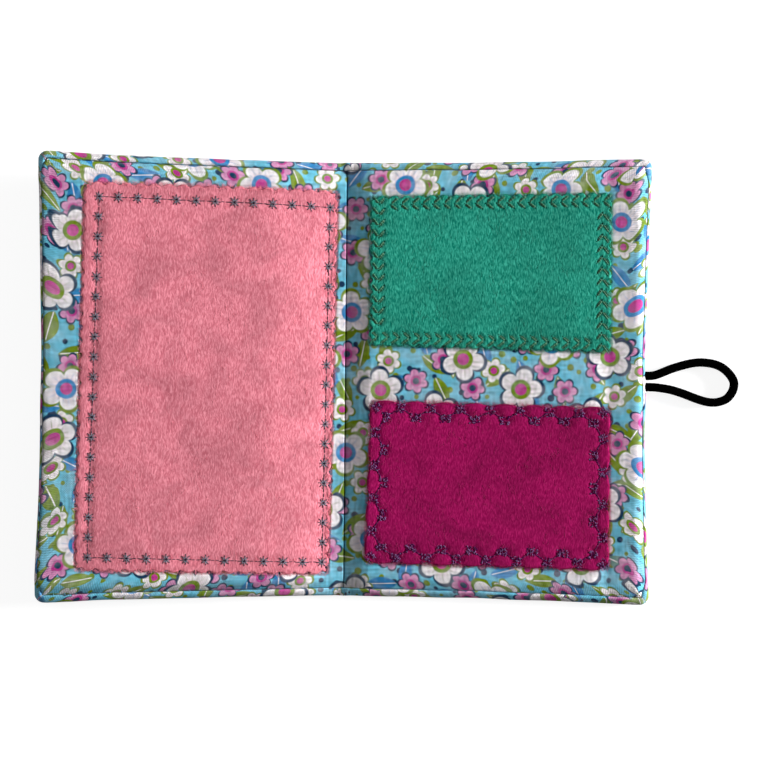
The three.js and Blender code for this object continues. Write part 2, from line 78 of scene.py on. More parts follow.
# Crease: half the width of cloth that bends, and how the inside of each cover falls to it, by the
# reach of its slope, how much the slope curves and its share of the drop
OUTER_BEND = 6 * MM
LINING_BEND = 4 * MM
FRONT_SLOPE = (29 * MM, 1.7, 0.84)
BACK_SLOPE = (8.5 * MM, 1.3, 0.62)
CREASE_DROP = 2.6 * MM
SPINE_GROOVE = 1.4 * MM
SPINE_REACH = 2.6 * MM

# Corners of the felts and of the star border in millimetres, anticlockwise from the lower left
PINK_CORNERS = [(-90.9, -65.3), (-5.1, -66.75), (-2.85, 64.5), (-88.7, 65.9)]
STAR_CORNERS = [(-86.3, -60.65), (-7.4, -62.4), (-5.65, 58.6), (-83.3, 60.75)]
GREEN_CORNERS = [(7.8, 11.44), (90.4, 9.71), (90.4, 64.65), (7.8, 62.69)]
MAGENTA_CORNERS = [(6.7, -62.69), (90.4, -64.65), (90.4, -8.69), (8.4, -6.96)]

# Borders: repeat along the edge, distance in from it, and distance between the rows of flowers
STAR_PITCH = 6.75 * MM
PLAIT_PITCH = 3.7 * MM
PLAIT_INSET = 3.2 * MM
FLOWER_PITCH = 10 * MM
FLOWER_INSET = 5.6 * MM
FLOWER_ROWS = 3.2 * MM

# Felts: node, body, corners, seed of the fibres, scallops and grain. The scallops have their pitch,
# the inset of the line they are counted on, a shift in steps, their depth and the radius of the
# felt's corners. The grain has the shares of the darkest and palest fibres, the white in them, the
# strength of the clouds, and the noise value of the darkest fibres.
FELTS = (
    ("pink_felt", "front_cover", PINK_CORNERS, 3,
     (4.75 * MM, 0.0, 0.0, 1.15 * MM, 3.8 * MM), (0.86, 1.3, 0.115, 0.7, 0.43)),
    ("green_felt", "back_cover", GREEN_CORNERS, 5,
     (4.2 * MM, PLAIT_INSET, 0.22, 1.3 * MM, 2.7 * MM), (0.67, 1.72, 0.049, 0.62, 0.44)),
    ("magenta_felt", "back_cover", MAGENTA_CORNERS, 7,
     (FLOWER_PITCH, FLOWER_INSET, 0.0, 1.1 * MM, 2.7 * MM), (0.79, 1.52, 0.017, 0.86, 0.454)),
)

# Elastic, in millimetres: steps of its tails across the cover, and its route out from the root,
# along the edge and as a share of the way down to the table
TAIL_STEPS = (94, 97, 100, 102.5)
LOOP_ROOT = 104.8
LOOP_ROUTE = [
    (0, 2.1, 0), (2.4, 2.63, 0.1), (7.3, 4.6, 0.35), (12.6, 6.2, 0.6), (16.1, 6.8, 0.75),
    (18.9, 6.8, 0.85), (22.1, 6.3, 0.95), (24.9, 5.1, 1), (27.3, 3, 1), (28.8, 0.6, 1),
    (28.9, -1.5, 1), (28.1, -3.65, 1), (26.4, -5.6, 1), (23.9, -6.65, 1), (21.4, -6.9, 0.95),
    (18.7, -6.5, 0.85), (15.5, -5.5, 0.75), (10.9, -3.8, 0.55), (6.7, -2.6, 0.3),
    (2.4, -1.95, 0.1), (0, -1.8, 0),
]
TAIL_UPPER = 2.1 * MM
TAIL_LOWER = -1.8 * MM
CORD_HEIGHT = 2.7 * MM
CORD_LOW = 1.6 * MM
BRAID_PITCH = 1.3 * MM

# Button: distance from the crease, and in millimetres that of its holes from its middle lines
BUTTON_PLACE = 87 * MM
BUTTON_HOLE = 1.2

# Finishes of a border, in the order in which its piece has them: the pale thread, a dark copy of it
# that is painted shade, and the painted shade of the needle holes
PALE, PAINTED_SHADE, PAINTED_HOLE_SHADE = range(3)

# Half of what the camera sees at a distance, both in millimetres
VIEW_HALF = 131.15
VIEW_DISTANCE = 450


def shade(red, green, blue):
    """A colour written as on screen, from 0 to 255, as the linear values that shaders take."""
    def linear(value):
        share = value / 255
        return share / 12.92 if share <= 0.04045 else ((share + 0.055) / 1.055) ** 2.4
    return (linear(red), linear(green), linear(blue))


def length_of(name, description, default):
    return FloatProperty(
        name=name, description=description, default=default, min=0.0, unit="LENGTH", precision=5,
    )


def colour_of(name, description, default):
    return FloatVectorProperty(
        name=name, description=description, default=default, subtype="COLOR", min=0.0, max=1.0,
    )


class NeedleBookSizes(bpy.types.PropertyGroup):
    """Sizes of the sewn pieces."""
    cloth: length_of("Cloth", "Thickness of the printed cotton", 0.45 * MM)
    lining_puff: length_of("Lining puff", "Rise of the padded lining round the felts", 1.15 * MM)
    edge_wave: length_of("Edge wave", "How far the turned edge wanders from its line", 0.3 * MM)
    crown: length_of("Crown", "How far the middle of the front cover stands up", 1.4 * MM)
    felt: length_of("Felt", "Thickness of the felt", 1.25 * MM)
    pucker: length_of("Pucker", "How deep a stitch pulls the felt down", 0.32 * MM)
    fibre: length_of("Fibre", "Thickness of a felt fibre", 0.06 * MM)
    fibres: IntProperty(
        name="Fibres", description="Loose fibres on a square centimetre of felt", default=40, min=0,
    )
    embroidery: length_of("Embroidery thread", "Radius of the thread of the borders", 0.25 * MM)
    sewing: length_of("Sewing thread", "Radius of the thread of the seams", 0.12 * MM)
    elastic: length_of("Elastic", "Diameter of the round elastic", 3 * MM)
    button: length_of("Button", "Radius of the button", 7 * MM)


class NeedleBookColours(bpy.types.PropertyGroup):
    """Colours of the cloth, felt, thread and button."""
    aqua: colour_of("Aqua", "Ground of the print", shade(105, 187, 213))
    blue: colour_of("Blue", "Blue of the print", shade(48, 132, 192))
    navy: colour_of("Navy", "Dark lines of the print", shade(18, 52, 84))
    lime: colour_of("Lime", "Green of the print", shade(114, 140, 12))
    rose: colour_of("Rose", "Pink of the print", shade(190, 58, 142))
    blush: colour_of("Blush", "Pale pink of the print", shade(218, 146, 190))
    milk: colour_of("Milk", "Pale parts of the print", shade(242, 238, 240))
    pink_felt: colour_of("Pink felt", "Large leaf", shade(225, 128, 143))
    green_felt: colour_of("Green felt", "Upper patch", shade(37, 150, 128))
    magenta_felt: colour_of("Magenta felt", "Lower patch", shade(158, 4, 86))
    slate: colour_of("Slate thread", "Star border", shade(112, 116, 130))
    slate_dark: colour_of("Dark slate thread", "Shaded side of the star border", shade(56, 36, 52))
    fern: colour_of("Fern thread", "Plait border", shade(60, 114, 86))
    fern_dark: colour_of("Dark fern thread", "Shaded side of the plait border", shade(24, 78, 56))
    plum: colour_of("Plum thread", "Flower border", shade(114, 74, 124))
    plum_dark: colour_of("Dark plum thread", "Shaded side of the flower border", shade(92, 22, 84))
    sewing: colour_of("Sewing thread", "Seams", shade(96, 150, 176))
    elastic: colour_of("Elastic", "Closing loop", shade(2, 2, 2))
    button: colour_of("Button", "Moulded button", shade(150, 30, 104))
    board: colour_of("Board", "Stiffening board", shade(216, 210, 196))
    wadding: colour_of("Wadding", "Padding", shade(242, 240, 234))


def sizes():
    return bpy.context.scene.needle_book_sizes


def tint(name):
    return (*getattr(bpy.context.scene.needle_book_colours, name), 1.0)


def toned(colour, share, white=0.0):
    """The colour made darker or lighter by that share, with white added or taken away."""
    return (*(min(max(share * value + white, 0.0), 1.0) for value in colour[:3]), 1.0)


# Finishes


class Nodes:
    """A shader node tree, and short ways to add to it."""

    def __init__(self, tree):
        self.tree = tree

    def feed(self, socket, value):
        if isinstance(value, bpy.types.NodeSocket):
            self.tree.links.new(value, socket)
        else:
            socket.default_value = value

    def add(self, kind, inputs=None, **settings):
        node = self.tree.nodes.new(kind)
        for name, value in settings.items():
            setattr(node, name, value)
        for socket, value in (inputs or {}).items():
            self.feed(node.inputs[socket], value)
        return node

    def math(self, operation, *values):
        inputs = dict(enumerate(values))
        return self.add("ShaderNodeMath", inputs, operation=operation).outputs[0]

    def seen_directly(self):
        """One for rays that reach the camera straight or by way of a shiny or clear surface."""
        path = self.add("ShaderNodeLightPath").outputs
        value = path["Is Camera Ray"]
        for other in ("Is Glossy Ray", "Is Transmission Ray"):
            value = self.math("MAXIMUM", value, path[other])
        return value


class Finish(Nodes):
    """A procedural finish: one shader and the nodes that feed it."""

    def __init__(self, name, **sockets):
        self.material = bpy.data.materials.new(name)
        self.material.use_nodes = True
        super().__init__(self.material.node_tree)
        self.shader = self.tree.nodes["Principled BSDF"]
        for socket, value in sockets.items():
            self.shader.inputs[socket.replace("_", " ")].default_value = value

    def vector(self, operation, *values):
        node = self.add("ShaderNodeVectorMath", dict(enumerate(values)), operation=operation)
        return node.outputs["Value" if operation == "LENGTH" else "Vector"]

    def scaled(self, vector, level):
        inputs = {0: vector, "Scale": level}
        return self.add("ShaderNodeVectorMath", inputs, operation="SCALE").outputs[0]

    def mix(self, share, under, over):
        inputs = {0: share, 6: under, 7: over}
        return self.add("ShaderNodeMix", inputs, data_type="RGBA").outputs[2]

    def split(self, value):
        return self.add("ShaderNodeSeparateXYZ", {0: value}).outputs

    def parts(self, colour):
        return self.add("ShaderNodeSeparateColor", {0: colour}).outputs

    def flat(self):
        return self.add("ShaderNodeUVMap", uv_map="flat").outputs["UV"]

    def place(self):
        return self.add("ShaderNodeTexCoord").outputs["Object"]

    def laid(self, vector, turn=0.0, scale=(1.0, 1.0, 1.0), shift=(0.0, 0.0, 0.0)):
        turned = (0.0, 0.0, math.radians(turn))
        inputs = {"Vector": vector, "Rotation": turned, "Scale": scale, "Location": shift}
        return self.add("ShaderNodeMapping", inputs).outputs[0]

    def noise(self, vector, scale, detail=2.0, roughness=0.5, distortion=0.0):
        inputs = {
            "Vector": vector, "Scale": scale, "Detail": detail,
            "Roughness": roughness, "Distortion": distortion,
        }
        return self.add("ShaderNodeTexNoise", inputs).outputs[0]

    def streaks(self, vector, scale, turn=0.0, **grain):
        """Noise with its own scale on each axis."""
        return self.noise(self.laid(vector, turn, scale), 1.0, **grain)

    def cells(self, vector, scale, randomness):
        inputs = {"Vector": vector, "Scale": scale, "Randomness": randomness}
        return self.add("ShaderNodeTexVoronoi", inputs, voronoi_dimensions="2D").outputs

    def spread(self, value, low, high):
        """Stretches the part of the value between low and high over zero to one."""
        inputs = {"Value": value, "From Min": low, "From Max": high}
        return self.add("ShaderNodeMapRange", inputs).outputs[0]

    def below(self, value, limit, soft):
        """One where the value is below the limit, and zero above it, with a soft step between."""
        return self.spread(value, limit + soft / 2, limit - soft / 2)

    def colour(self, value):
        self.feed(self.shader.inputs["Base Color"], value)

    def tones(self, share, colour, dark, light):
        """Colours the finish from a darker to a lighter tone of one colour."""
        self.colour(self.mix(share, toned(colour, dark), toned(colour, light)))

    def relief(self, height, distance, strength):
        inputs = {"Height": height, "Distance": distance, "Strength": strength}
        self.feed(self.shader.inputs["Normal"], self.add("ShaderNodeBump", inputs).outputs[0])


def motif(f, cloth, size, scatter):
    """A cell for each motif, random picks for it, and its reach; size has pitch and reach."""
    pitch, reach = size
    cell = f.cells(cloth, 1 / pitch, scatter)
    return cell, f.parts(cell["Color"]), reach


def blossoms(f, cloth, ground, size, first, second, lobes):
    """Prints a flower in each cell; first and second have outline, petal, eye and seed colours."""
    cell, picks, reach = motif(f, cloth, size, 0.34)
    offset = f.vector("SUBTRACT", cloth, cell["Position"])
    x, y, _ = f.split(offset)
    radius = f.vector("LENGTH", offset)
    turned = f.math("MULTIPLY_ADD", picks[0], math.tau, f.math("ARCTAN2", y, x))
    wave = f.math("ABSOLUTE", f.math("COSINE", f.math("MULTIPLY", turned, lobes / 2)))
    lobe = f.math("MULTIPLY_ADD", f.math("POWER", wave, 0.6), 0.4 * reach, 0.6 * reach)
    share = f.math("DIVIDE", radius, lobe)
    which = f.below(picks[1], 0.5, 0.02)
    outline, petal, eye, seed = [f.mix(which, one, two) for one, two in zip(first, second)]
    colour = f.mix(f.below(share, 1.0, 0.05), ground, outline)
    colour = f.mix(f.below(share, 0.85, 0.05), colour, petal)
    spokes = f.math("ABSOLUTE", f.math("SINE", f.math("MULTIPLY", turned, lobes * 1.5)))
    ribs = f.math("MULTIPLY", f.below(spokes, 0.16, 0.2), f.below(share, 0.66, 0.2))
    colour = f.mix(f.math("MULTIPLY", f.below(share, 0.5, 0.6), 0.28), colour, seed)
    colour = f.mix(f.math("MULTIPLY", ribs, 0.7), colour, eye)
    colour = f.mix(f.below(radius, 0.4 * reach, 0.1 * MM), colour, eye)
    return f.mix(f.below(radius, 0.24 * reach, 0.1 * MM), colour, seed)


def leaves(f, cloth, ground, size, first, second):
    """Prints a pointed leaf with a pale rib in each cell."""
    cell, picks, reach = motif(f, cloth, size, 0.55)
    x, y, _ = f.split(f.vector("SUBTRACT", cloth, cell["Position"]))
    turn = f.math("MULTIPLY", picks[0], math.tau)
    sine = f.math("SINE", turn)
    cosine = f.math("COSINE", turn)
    run = f.math("ADD", f.math("MULTIPLY", x, cosine), f.math("MULTIPLY", y, sine))
    side = f.math("SUBTRACT", f.math("MULTIPLY", y, cosine), f.math("MULTIPLY", x, sine))
    wide = f.math("ABSOLUTE", side)
    point = f.math("POWER", f.math("ABSOLUTE", f.math("DIVIDE", run, reach)), 2.0)
    lens = f.math("MULTIPLY_ADD", wide, 1 / (0.42 * reach), point)
    leaf = f.mix(f.below(picks[1], 0.36, 0.02), first, second)
    colour = f.mix(f.below(lens, 1.0, 0.08), ground, leaf)
    rib = f.math("MULTIPLY", f.below(wide, 0.16 * MM, 0.1 * MM), f.below(lens, 0.8, 0.1))
    return f.mix(rib, colour, tint("milk"))


def dots(f, cloth, ground, size, first, second):
    """Prints a plain dot in each cell."""
    cell, picks, reach = motif(f, cloth, size, 0.6)
    radius = f.math("MULTIPLY_ADD", picks[0], 0.5 * reach, 0.6 * reach)
    share = f.math("DIVIDE", cell["Distance"], f.math("DIVIDE", radius, size[0]))
    dot = f.mix(f.below(picks[1], 0.5, 0.02), first, second)
    return f.mix(f.below(share, 1.0, 0.12), ground, dot)


def printed_cotton():
    """Plain-weave cotton with scattered flowers, leaves and dots, on the flat cloth's UV map."""
    f = Finish(
        "printed_cotton",
        Roughness=0.88, Specular_IOR_Level=0.12, Sheen_Weight=0.04, Sheen_Roughness=0.45,
    )
    flat = f.flat()
    aqua, blue, navy, lime = map(tint, ("aqua", "blue", "navy", "lime"))
    rose, blush, milk = map(tint, ("rose", "blush", "milk"))
    worn = f.spread(f.noise(flat, 45.0, detail=3.0), 0.3, 0.7)
    ground = f.mix(worn, toned(aqua, 0.93), toned(aqua, 1.06))
    cloth = f.laid(flat, turn=11)
    ground = dots(f, cloth, ground, (4.8 * MM, 1.1 * MM), lime, navy)
    cloth = f.laid(flat, turn=-19, shift=(0.004, 0.002, 0.0))
    ground = leaves(f, cloth, ground, (10.4 * MM, 5.6 * MM), lime, blue)
    cloth = f.laid(flat, turn=48, shift=(0.031, 0.007, 0.0))
    small = (navy, blush, rose, navy), (lime, milk, lime, rose)
    ground = blossoms(f, cloth, ground, (12 * MM, 4.7 * MM), *small, lobes=6)
    cloth = f.laid(flat, turn=27, shift=(0.013, 0.021, 0.0))
    large = (navy, milk, lime, rose), (lime, milk, blue, rose)
    ground = blossoms(f, cloth, ground, (22.5 * MM, 8.4 * MM), *large, lobes=5)
    wash = f.spread(f.noise(flat, 130.0, detail=4.0, roughness=0.6), 0.42, 0.72)
    ground = f.mix(f.math("MULTIPLY", wash, 0.24), ground, milk)
    dull = f.noise(f.laid(flat, shift=(0.3, 0.1, 0.0)), 90.0, detail=4.0, roughness=0.6)
    ground = f.mix(f.math("MULTIPLY", f.spread(dull, 0.5, 0.75), 0.22), ground, toned(aqua, 0.55))
    yarn = math.tau / (0.78 * MM)
    across, along = [f.math("SINE", f.math("MULTIPLY", way, yarn)) for way in f.split(flat)[:2]]
    weave = f.math("MULTIPLY", across, along)
    weft = f.streaks(flat, (230.0, 1250.0, 1.0))
    warp = f.streaks(flat, (1250.0, 230.0, 1.0))
    slub = f.math("MULTIPLY_ADD", f.math("ADD", weft, warp), 0.8, -0.3)
    thread = f.math("MULTIPLY_ADD", weave, 0.28, slub)
    f.colour(f.scaled(ground, f.math("MULTIPLY_ADD", thread, 1.15, 0.3)))
    f.relief(thread, 0.1 * MM, 0.32)
    return f.material


def felted(name, colour, dark, light, white, cloud, start):
    """Pressed wool felt: pale fibres that run mostly along the cloth, with soft mottling."""
    f = Finish(
        name, Roughness=0.95, Specular_IOR_Level=0.03, Sheen_Weight=0.03, Sheen_Roughness=0.6,
    )
    place = f.place()
    drift = f.add("ShaderNodeTexNoise", {"Vector": place, "Scale": 230.0}).outputs[1]
    bent = f.vector("ADD", place, f.scaled(drift, 2.2 * MM))
    near = f.streaks(bent, (2700.0, 590.0, 500.0), turn=14, roughness=0.6)
    far = f.streaks(bent, (2500.0, 570.0, 500.0), turn=-20, roughness=0.6)
    cross = f.streaks(bent, (2800.0, 1100.0, 500.0), turn=70)
    fibres = f.math("MULTIPLY", f.math("ADD", near, far), 0.5)
    tone = f.math("MULTIPLY_ADD", fibres, 0.8, f.math("MULTIPLY", cross, 0.2))
    run = 0.2
    mean = (0.5 - start) / run
    low, high = toned(colour, dark, -white * mean), toned(colour, light, white * (1 - mean))
    body = f.mix(f.spread(tone, start, start + run), low, high)
    mottle = f.spread(f.noise(place, 72.0, detail=3.0, distortion=0.6), 0.62, 0.34)
    f.colour(f.scaled(body, f.math("MULTIPLY_ADD", mottle, -0.34 * cloud, 1.0)))
    f.relief(tone, 0.16 * MM, 0.28)
    return f.material


def fibre_finish(name, colour):
    """Loose wool fibres, paler and darker than the felt that they lie on."""
    f = Finish(name, Roughness=0.9, Specular_IOR_Level=0.05, Sheen_Weight=0.05)
    pale = f.spread(f.noise(f.place(), 900.0), 0.35, 0.65)
    f.colour(f.mix(pale, toned(colour, 0.9), toned(colour, 1.4, 0.05)))
    return f.material


def twisted(name, colour, gloss=0.5):
    """Twisted thread: plies that wind round it, paler on their crests as a painted highlight and
    darker between them as painted shade, with random tone.
    """
    f = Finish(
        name, Roughness=gloss, Specular_IOR_Level=0.2, Sheen_Weight=0.03, Sheen_Roughness=0.4,
    )
    u, v, _ = f.split(f.flat())
    ply = f.math("SINE", f.math("MULTIPLY_ADD", u, 26.0, f.math("MULTIPLY", v, math.tau)))
    ply_highlight_and_tone = f.math("MULTIPLY_ADD", ply, 0.3, f.noise(f.place(), 700.0))
    # The colour follows the plies: painted highlight on their crests and painted shade between
    # them, mixed with random tone from noise.
    f.tones(f.spread(ply_highlight_and_tone, 0.15, 0.85), colour, 0.5, 1.35)
    f.relief(ply, 0.05 * MM, 0.7)
    return f.material


def needle_hole_shade(name, colour):
    """Painted shade for a needle hole: a dark, mottled finish that stands in for the shadow down in
    the hole.
    """
    f = Finish(name, Roughness=1.0, Specular_IOR_Level=0.0)
    f.tones(f.noise(f.place(), 2500.0, detail=1.0), colour, 0.3, 0.8)
    return f.material


def braided():
    """Braided cotton cover of round elastic, with crossing strands on the cord's UV map, coloured
    darker in the hollows as painted shade and paler on the strands as a painted highlight.
    """
    f = Finish("black_elastic", Roughness=0.9, Specular_IOR_Level=0.0)
    u, v, _ = f.split(f.flat())
    around = f.math("MULTIPLY", u, 8 * math.pi)
    along = f.math("MULTIPLY", v, math.pi / BRAID_PITCH)
    left = f.math("ABSOLUTE", f.math("SINE", f.math("ADD", around, along)))
    right = f.math("ABSOLUTE", f.math("SINE", f.math("SUBTRACT", around, along)))
    yarn = f.math("SINE", f.math("MULTIPLY_ADD", v, 9000.0, f.math("MULTIPLY", u, 60.0)))
    height = f.math("MULTIPLY_ADD", yarn, 0.12, f.math("MAXIMUM", left, right))
    # The braid's height also sets the colour: painted shade in the hollows and a painted highlight
    # on the crests of the strands.
    f.tones(f.spread(height, 0.4, 1.1), tint("elastic"), 0.4, 1.6)
    f.relief(height, 0.12 * MM, 0.7)
    return f.material


def moulded():
    """Polished button plastic with a faint pearly swirl and fine scratches."""
    f = Finish("button_plastic", Roughness=0.25, Coat_Weight=0.4, Coat_Roughness=0.12)
    place = f.place()
    swirl = f.noise(place, 260.0, detail=3.0, roughness=0.55, distortion=2.5)
    f.tones(f.spread(swirl, 0.35, 0.7), tint("button"), 0.8, 1.14)
    scratch = f.streaks(place, (5200.0, 300.0, 300.0), turn=35)
    f.feed(f.shader.inputs["Roughness"], f.math("MULTIPLY_ADD", scratch, 0.22, 0.14))
    f.relief(scratch, 0.01 * MM, 0.3)
    return f.material


def pressed_board():
    """Uncoated board with pale and dark pulp fibres."""
    f = Finish("stiffener_board", Roughness=0.92, Specular_IOR_Level=0.15)
    scale, grain = (900.0, 2600.0, 900.0), dict(detail=4.0, roughness=0.65, distortion=0.6)
    pulp = f.streaks(f.place(), scale, turn=40, **grain)
    f.tones(f.spread(pulp, 0.3, 0.7), tint("board"), 0.82, 1.08)
    f.relief(pulp, 0.08 * MM, 0.5)
    return f.material


def fleece():
    """Loose white wadding, cloudy and soft."""
    f = Finish("wadding_fleece", Roughness=1.0, Specular_IOR_Level=0.05, Sheen_Weight=0.3)
    cloud = f.noise(f.place(), 420.0, detail=5.0, roughness=0.7, distortion=1.2)
    f.tones(f.spread(cloud, 0.3, 0.7), tint("wadding"), 0.84, 1.0)
    f.relief(cloud, 0.8 * MM, 0.8)
    return f.material


# Shapes of the covers


def smooth(value):
    """An easy step from zero to one."""
    share = min(max(value, 0.0), 1.0)
    return share * share * (3 - 2 * share)


def ramp(value, start, run):
    """An easy step from zero at the start to one after the run, both in millimetres."""
    return smooth((value / MM - start) / run)


def uneven(x, y, z, scale):
    """Smooth noise at a point."""
    return noise.noise(Vector((x, y, z)) * scale)


def leaned(x, y, z, bend):
    """Turns a point of the flat book up with the front cover, easing in over the crease's bend."""
    turn = FRONT_LEAN * (1 - smooth((x + bend) / (2 * bend)))
    drop = z - FOLD_HEIGHT
    rise = FOLD_HEIGHT - x * math.sin(turn) + drop * math.cos(turn)
    return Vector((x * math.cos(turn) + drop * math.sin(turn), y, rise))


def front_place():
    """The matrix that takes a piece of the flat front cover to where the cover leans."""
    pivot = Matrix.Translation((0, 0, FOLD_HEIGHT))
    return pivot @ Matrix.Rotation(FRONT_LEAN, 4, "Y") @ pivot.inverted()


def cover_end(across):
    """Half the height of a cover at that distance from the crease."""
    return (CREASE_HEIGHT + (EDGE_HEIGHT - CREASE_HEIGHT) * across / COVER_WIDTH) / 2


def drawn_in(across, along):
    """The sides of a turned-out cover are drawn in between its corners."""
    share = across / COVER_WIDTH
    height = 2 * along / EDGE_HEIGHT
    x = across - SIDE_DRAW * share ** 3 * (1 - height ** 2)
    return x, along - END_DRAW * height ** 3 * 4 * share * (1 - share)


def at_limit(share):
    return abs(share) > 1 - 1e-9


def cover_edge(a, b, inset):
    """A point of the outline at that inset; a runs across the book, b along it, the larger is 1."""
    radius = max(CORNER_RADIUS - inset, 0.3 * MM)
    corner = COVER_WIDTH - inset - radius
    quarter = radius * math.pi / 4
    if at_limit(b):
        run = abs(a) * (corner + quarter)
        turn = max(run - corner, 0.0) / radius
        across = min(run, corner) + radius * math.sin(turn)
        along = cover_end(min(run, corner)) - inset - radius * (1 - math.cos(turn))
    else:
        straight = cover_end(corner) - inset - radius
        run = abs(b) * (straight + quarter)
        turn = max(run - straight, 0.0) / radius
        across = corner + radius * math.cos(turn)
        along = min(run, straight) + radius * math.sin(turn)
    x, y = drawn_in(across, along)
    return math.copysign(x, a), math.copysign(y, b)


def cover_inside(a, b, inset):
    """A point inside the outline, at those shares of the way across and along."""
    across = abs(a) * (COVER_WIDTH - inset)
    x, y = drawn_in(across, abs(b) * (cover_end(across) - inset))
    return math.copysign(x, a), math.copysign(y, b)


def at_side(a, b):
    """One along the outer edges of the covers, and zero at their corners and everywhere else."""
    return smooth((1 - abs(b)) / 0.1) if at_limit(a) else 0.0


def rim_inset(a, b, inset, level):
    """The rim of the outer cloth shows less at the outer edges of the covers than elsewhere."""
    return inset * (1 - 0.5 * at_side(a, b)) if level > 2.75 * MM else inset


def tuck_inset(a, b, inset, level):
    """The lining's tucked edge follows the rim."""
    return inset - 1.45 * MM * at_side(a, b) * (1 - ramp(inset, SEAM_INSET / MM, 4.4))


def fall(across):
    """Share of its full height that the inside of a cover keeps this far from the crease."""
    reach, bow, deep = FRONT_SLOPE if across < 0 else BACK_SLOPE
    near = max(1 - abs(across) / reach, 0.0)
    drop = deep * near ** bow + 0.3 * math.exp(-abs(across) / (0.2 * MM))
    return 1 - CREASE_DROP / COVER_TOP * drop


def over_crease(x):
    """The share that the rim keeps, which passes the crease in one easy step."""
    step = ramp(x, -2, 4)
    return fall(-2 * MM) * (1 - step) + fall(2 * MM) * step


def crown(x):
    """The front cover stands up a little in its middle and slopes down to the crease."""
    if x >= 0:
        return 0.0
    rise = 1 - max(1 + x / (32 * MM), 0.0) ** 2
    return sizes().crown * rise * (0.6 + 0.4 * ramp(COVER_WIDTH + x, 0, 28))


def raised(x, y):
    """How far the padding stands up along the front cover's outer edge, away from its corners."""
    inside = cover_end(abs(x)) - abs(y) - 3 * MM
    return (1.1 * MM + 0.7 * crown(x)) * ramp(-x, 86, 7) * ramp(inside, 0, 7)


def puffed(x, side):
    """How far padding lifts the open lining, from the distance to the crease and the side seam."""
    if x < 0:
        share = 1 + 0.25 * ramp(x, -12, 6) + 0.5 * max(1 + x / (4 * MM), 0.0)
        share = (share + 0.25 * ramp(-x, STRIP_START, 6)) * ramp(-x, 0, 0.28)
    else:
        share = 1 - 0.55 * ramp(x, STRIP_START, 6) + 0.5 * max(x - 90 * MM, 0.0) / (9 * MM)
        share *= ramp(side, -1.7, 1.1) * ramp(x, 0, 0.45)
    return sizes().lining_puff * share


def beyond(x, y, corners):
    """Distance of a point outside a felt, negative inside it."""
    most = -1.0
    for (ax, ay), (bx, by) in zip(corners, corners[1:] + corners[:1]):
        run = math.hypot(bx - ax, by - ay)
        most = max(most, ((x / MM - ax) * (by - ay) - (y / MM - ay) * (bx - ax)) / run * MM)
    return most


def grid_lines(*runs):
    """Grid lines from the middle to both ends; each run gives where it ends and its step."""
    half = [0.0]
    for end, step in runs:
        start = half[-1]
        count = max(1, round((end - start) / step))
        half += [start + (end - start) * (index + 1) / count for index in range(count)]
    return [-value for value in reversed(half[1:])] + half


def cloth_grid(columns, rows, place):
    """A grid of cloth whose points go where place puts them, with the flat cloth as its UV map."""
    bm = bmesh.new()
    bmesh.ops.create_grid(bm, x_segments=columns, y_segments=rows, size=1.0)
    flat = bm.loops.layers.uv.new("flat")
    laid = {}
    for vert in bm.verts:
        column = round((vert.co.x + 1) / 2 * columns)
        row = round((vert.co.y + 1) / 2 * rows)
        vert.co, laid[vert] = place(column, row)
    for face in bm.faces:
        for loop in face.loops:
            loop[flat].uv = laid[loop.vert]
    return bm


def turned_sheet(columns, rows, stations, inset_at, height, bend, shift, spare=0.0):
    """A sheet that follows the cover's outline in rings, from its tucked edge to the open middle.

    stations give the inset and height of each ring, from the edge of the cloth inwards, and spare
    is the cloth on each side of the spine that lies gathered while the book is open."""
    rings = len(stations) - 1
    last_column, last_row = len(columns) - 1, len(rows) - 1
    travel = [math.dist(one, two) for one, two in zip(stations, stations[1:])]
    middle_inset = stations[rings][0]

    def place(column, row):
        depth = min(column, last_column - column, row, last_row - row)
        ring = min(depth, rings)
        a = columns[column] / columns[last_column - ring]
        b = rows[row] / rows[last_row - ring]
        inset, level = stations[ring]
        inset = inset_at(a, b, inset, level)
        follow = cover_edge if depth <= rings else cover_inside
        if depth <= rings:
            inset += sizes().edge_wave * uneven(*follow(a, b, 0.0), 0.0, 55)
        x, y = follow(a, b, inset)
        base_x, base_y = follow(a, b, middle_inset)
        gathered = spare * math.sin(math.pi / 2 * min(abs(base_x) / (1.1 * bend), 1.0))
        base_x += math.copysign(gathered, base_x)
        out = sum(travel[ring:])
        side_x, side_y = [math.copysign(at_limit(share), share) for share in (a, b)]
        flat = (base_x + side_x * out + shift[0], base_y + side_y * out + shift[1])
        return leaned(x, y, height(x, y, level), bend), flat

    return cloth_grid(last_column, last_row, place)


# Making pieces


def piece(bm, name, finishes, place=None):
    """Puts a bmesh into the scene as a named piece."""
    mesh = bpy.data.meshes.new(name)
    bm.to_mesh(mesh)
    bm.free()
    if place is not None:
        mesh.transform(place)
    for finish in finishes:
        mesh.materials.append(finish)
    mesh.shade_smooth()
    obj = bpy.data.objects.new(name, mesh)
    bpy.context.scene.collection.objects.link(obj)
    return obj


def rider(bm, name, finishes, body, slot, *nodes):
    """Makes a piece that rides on one body, in place of the named CAD nodes."""
    obj = piece(bm, name, finishes, front_place() if body == "front_cover" else None)
    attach(obj, body)
    if nodes:
        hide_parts(*nodes)
    return obj


def creased(obj, bend, slot, *nodes):
    """Bakes a piece's place into its mesh, in place of the named CAD nodes; the bend is not used.
    """
    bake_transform(obj)
    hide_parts(*nodes)


def thickened(obj, thickness):
    """Gives an open sheet its thickness on the inner side."""
    solid = obj.modifiers.new("thickness", "SOLIDIFY")
    solid.thickness = thickness
    solid.offset = -1.0
    return obj


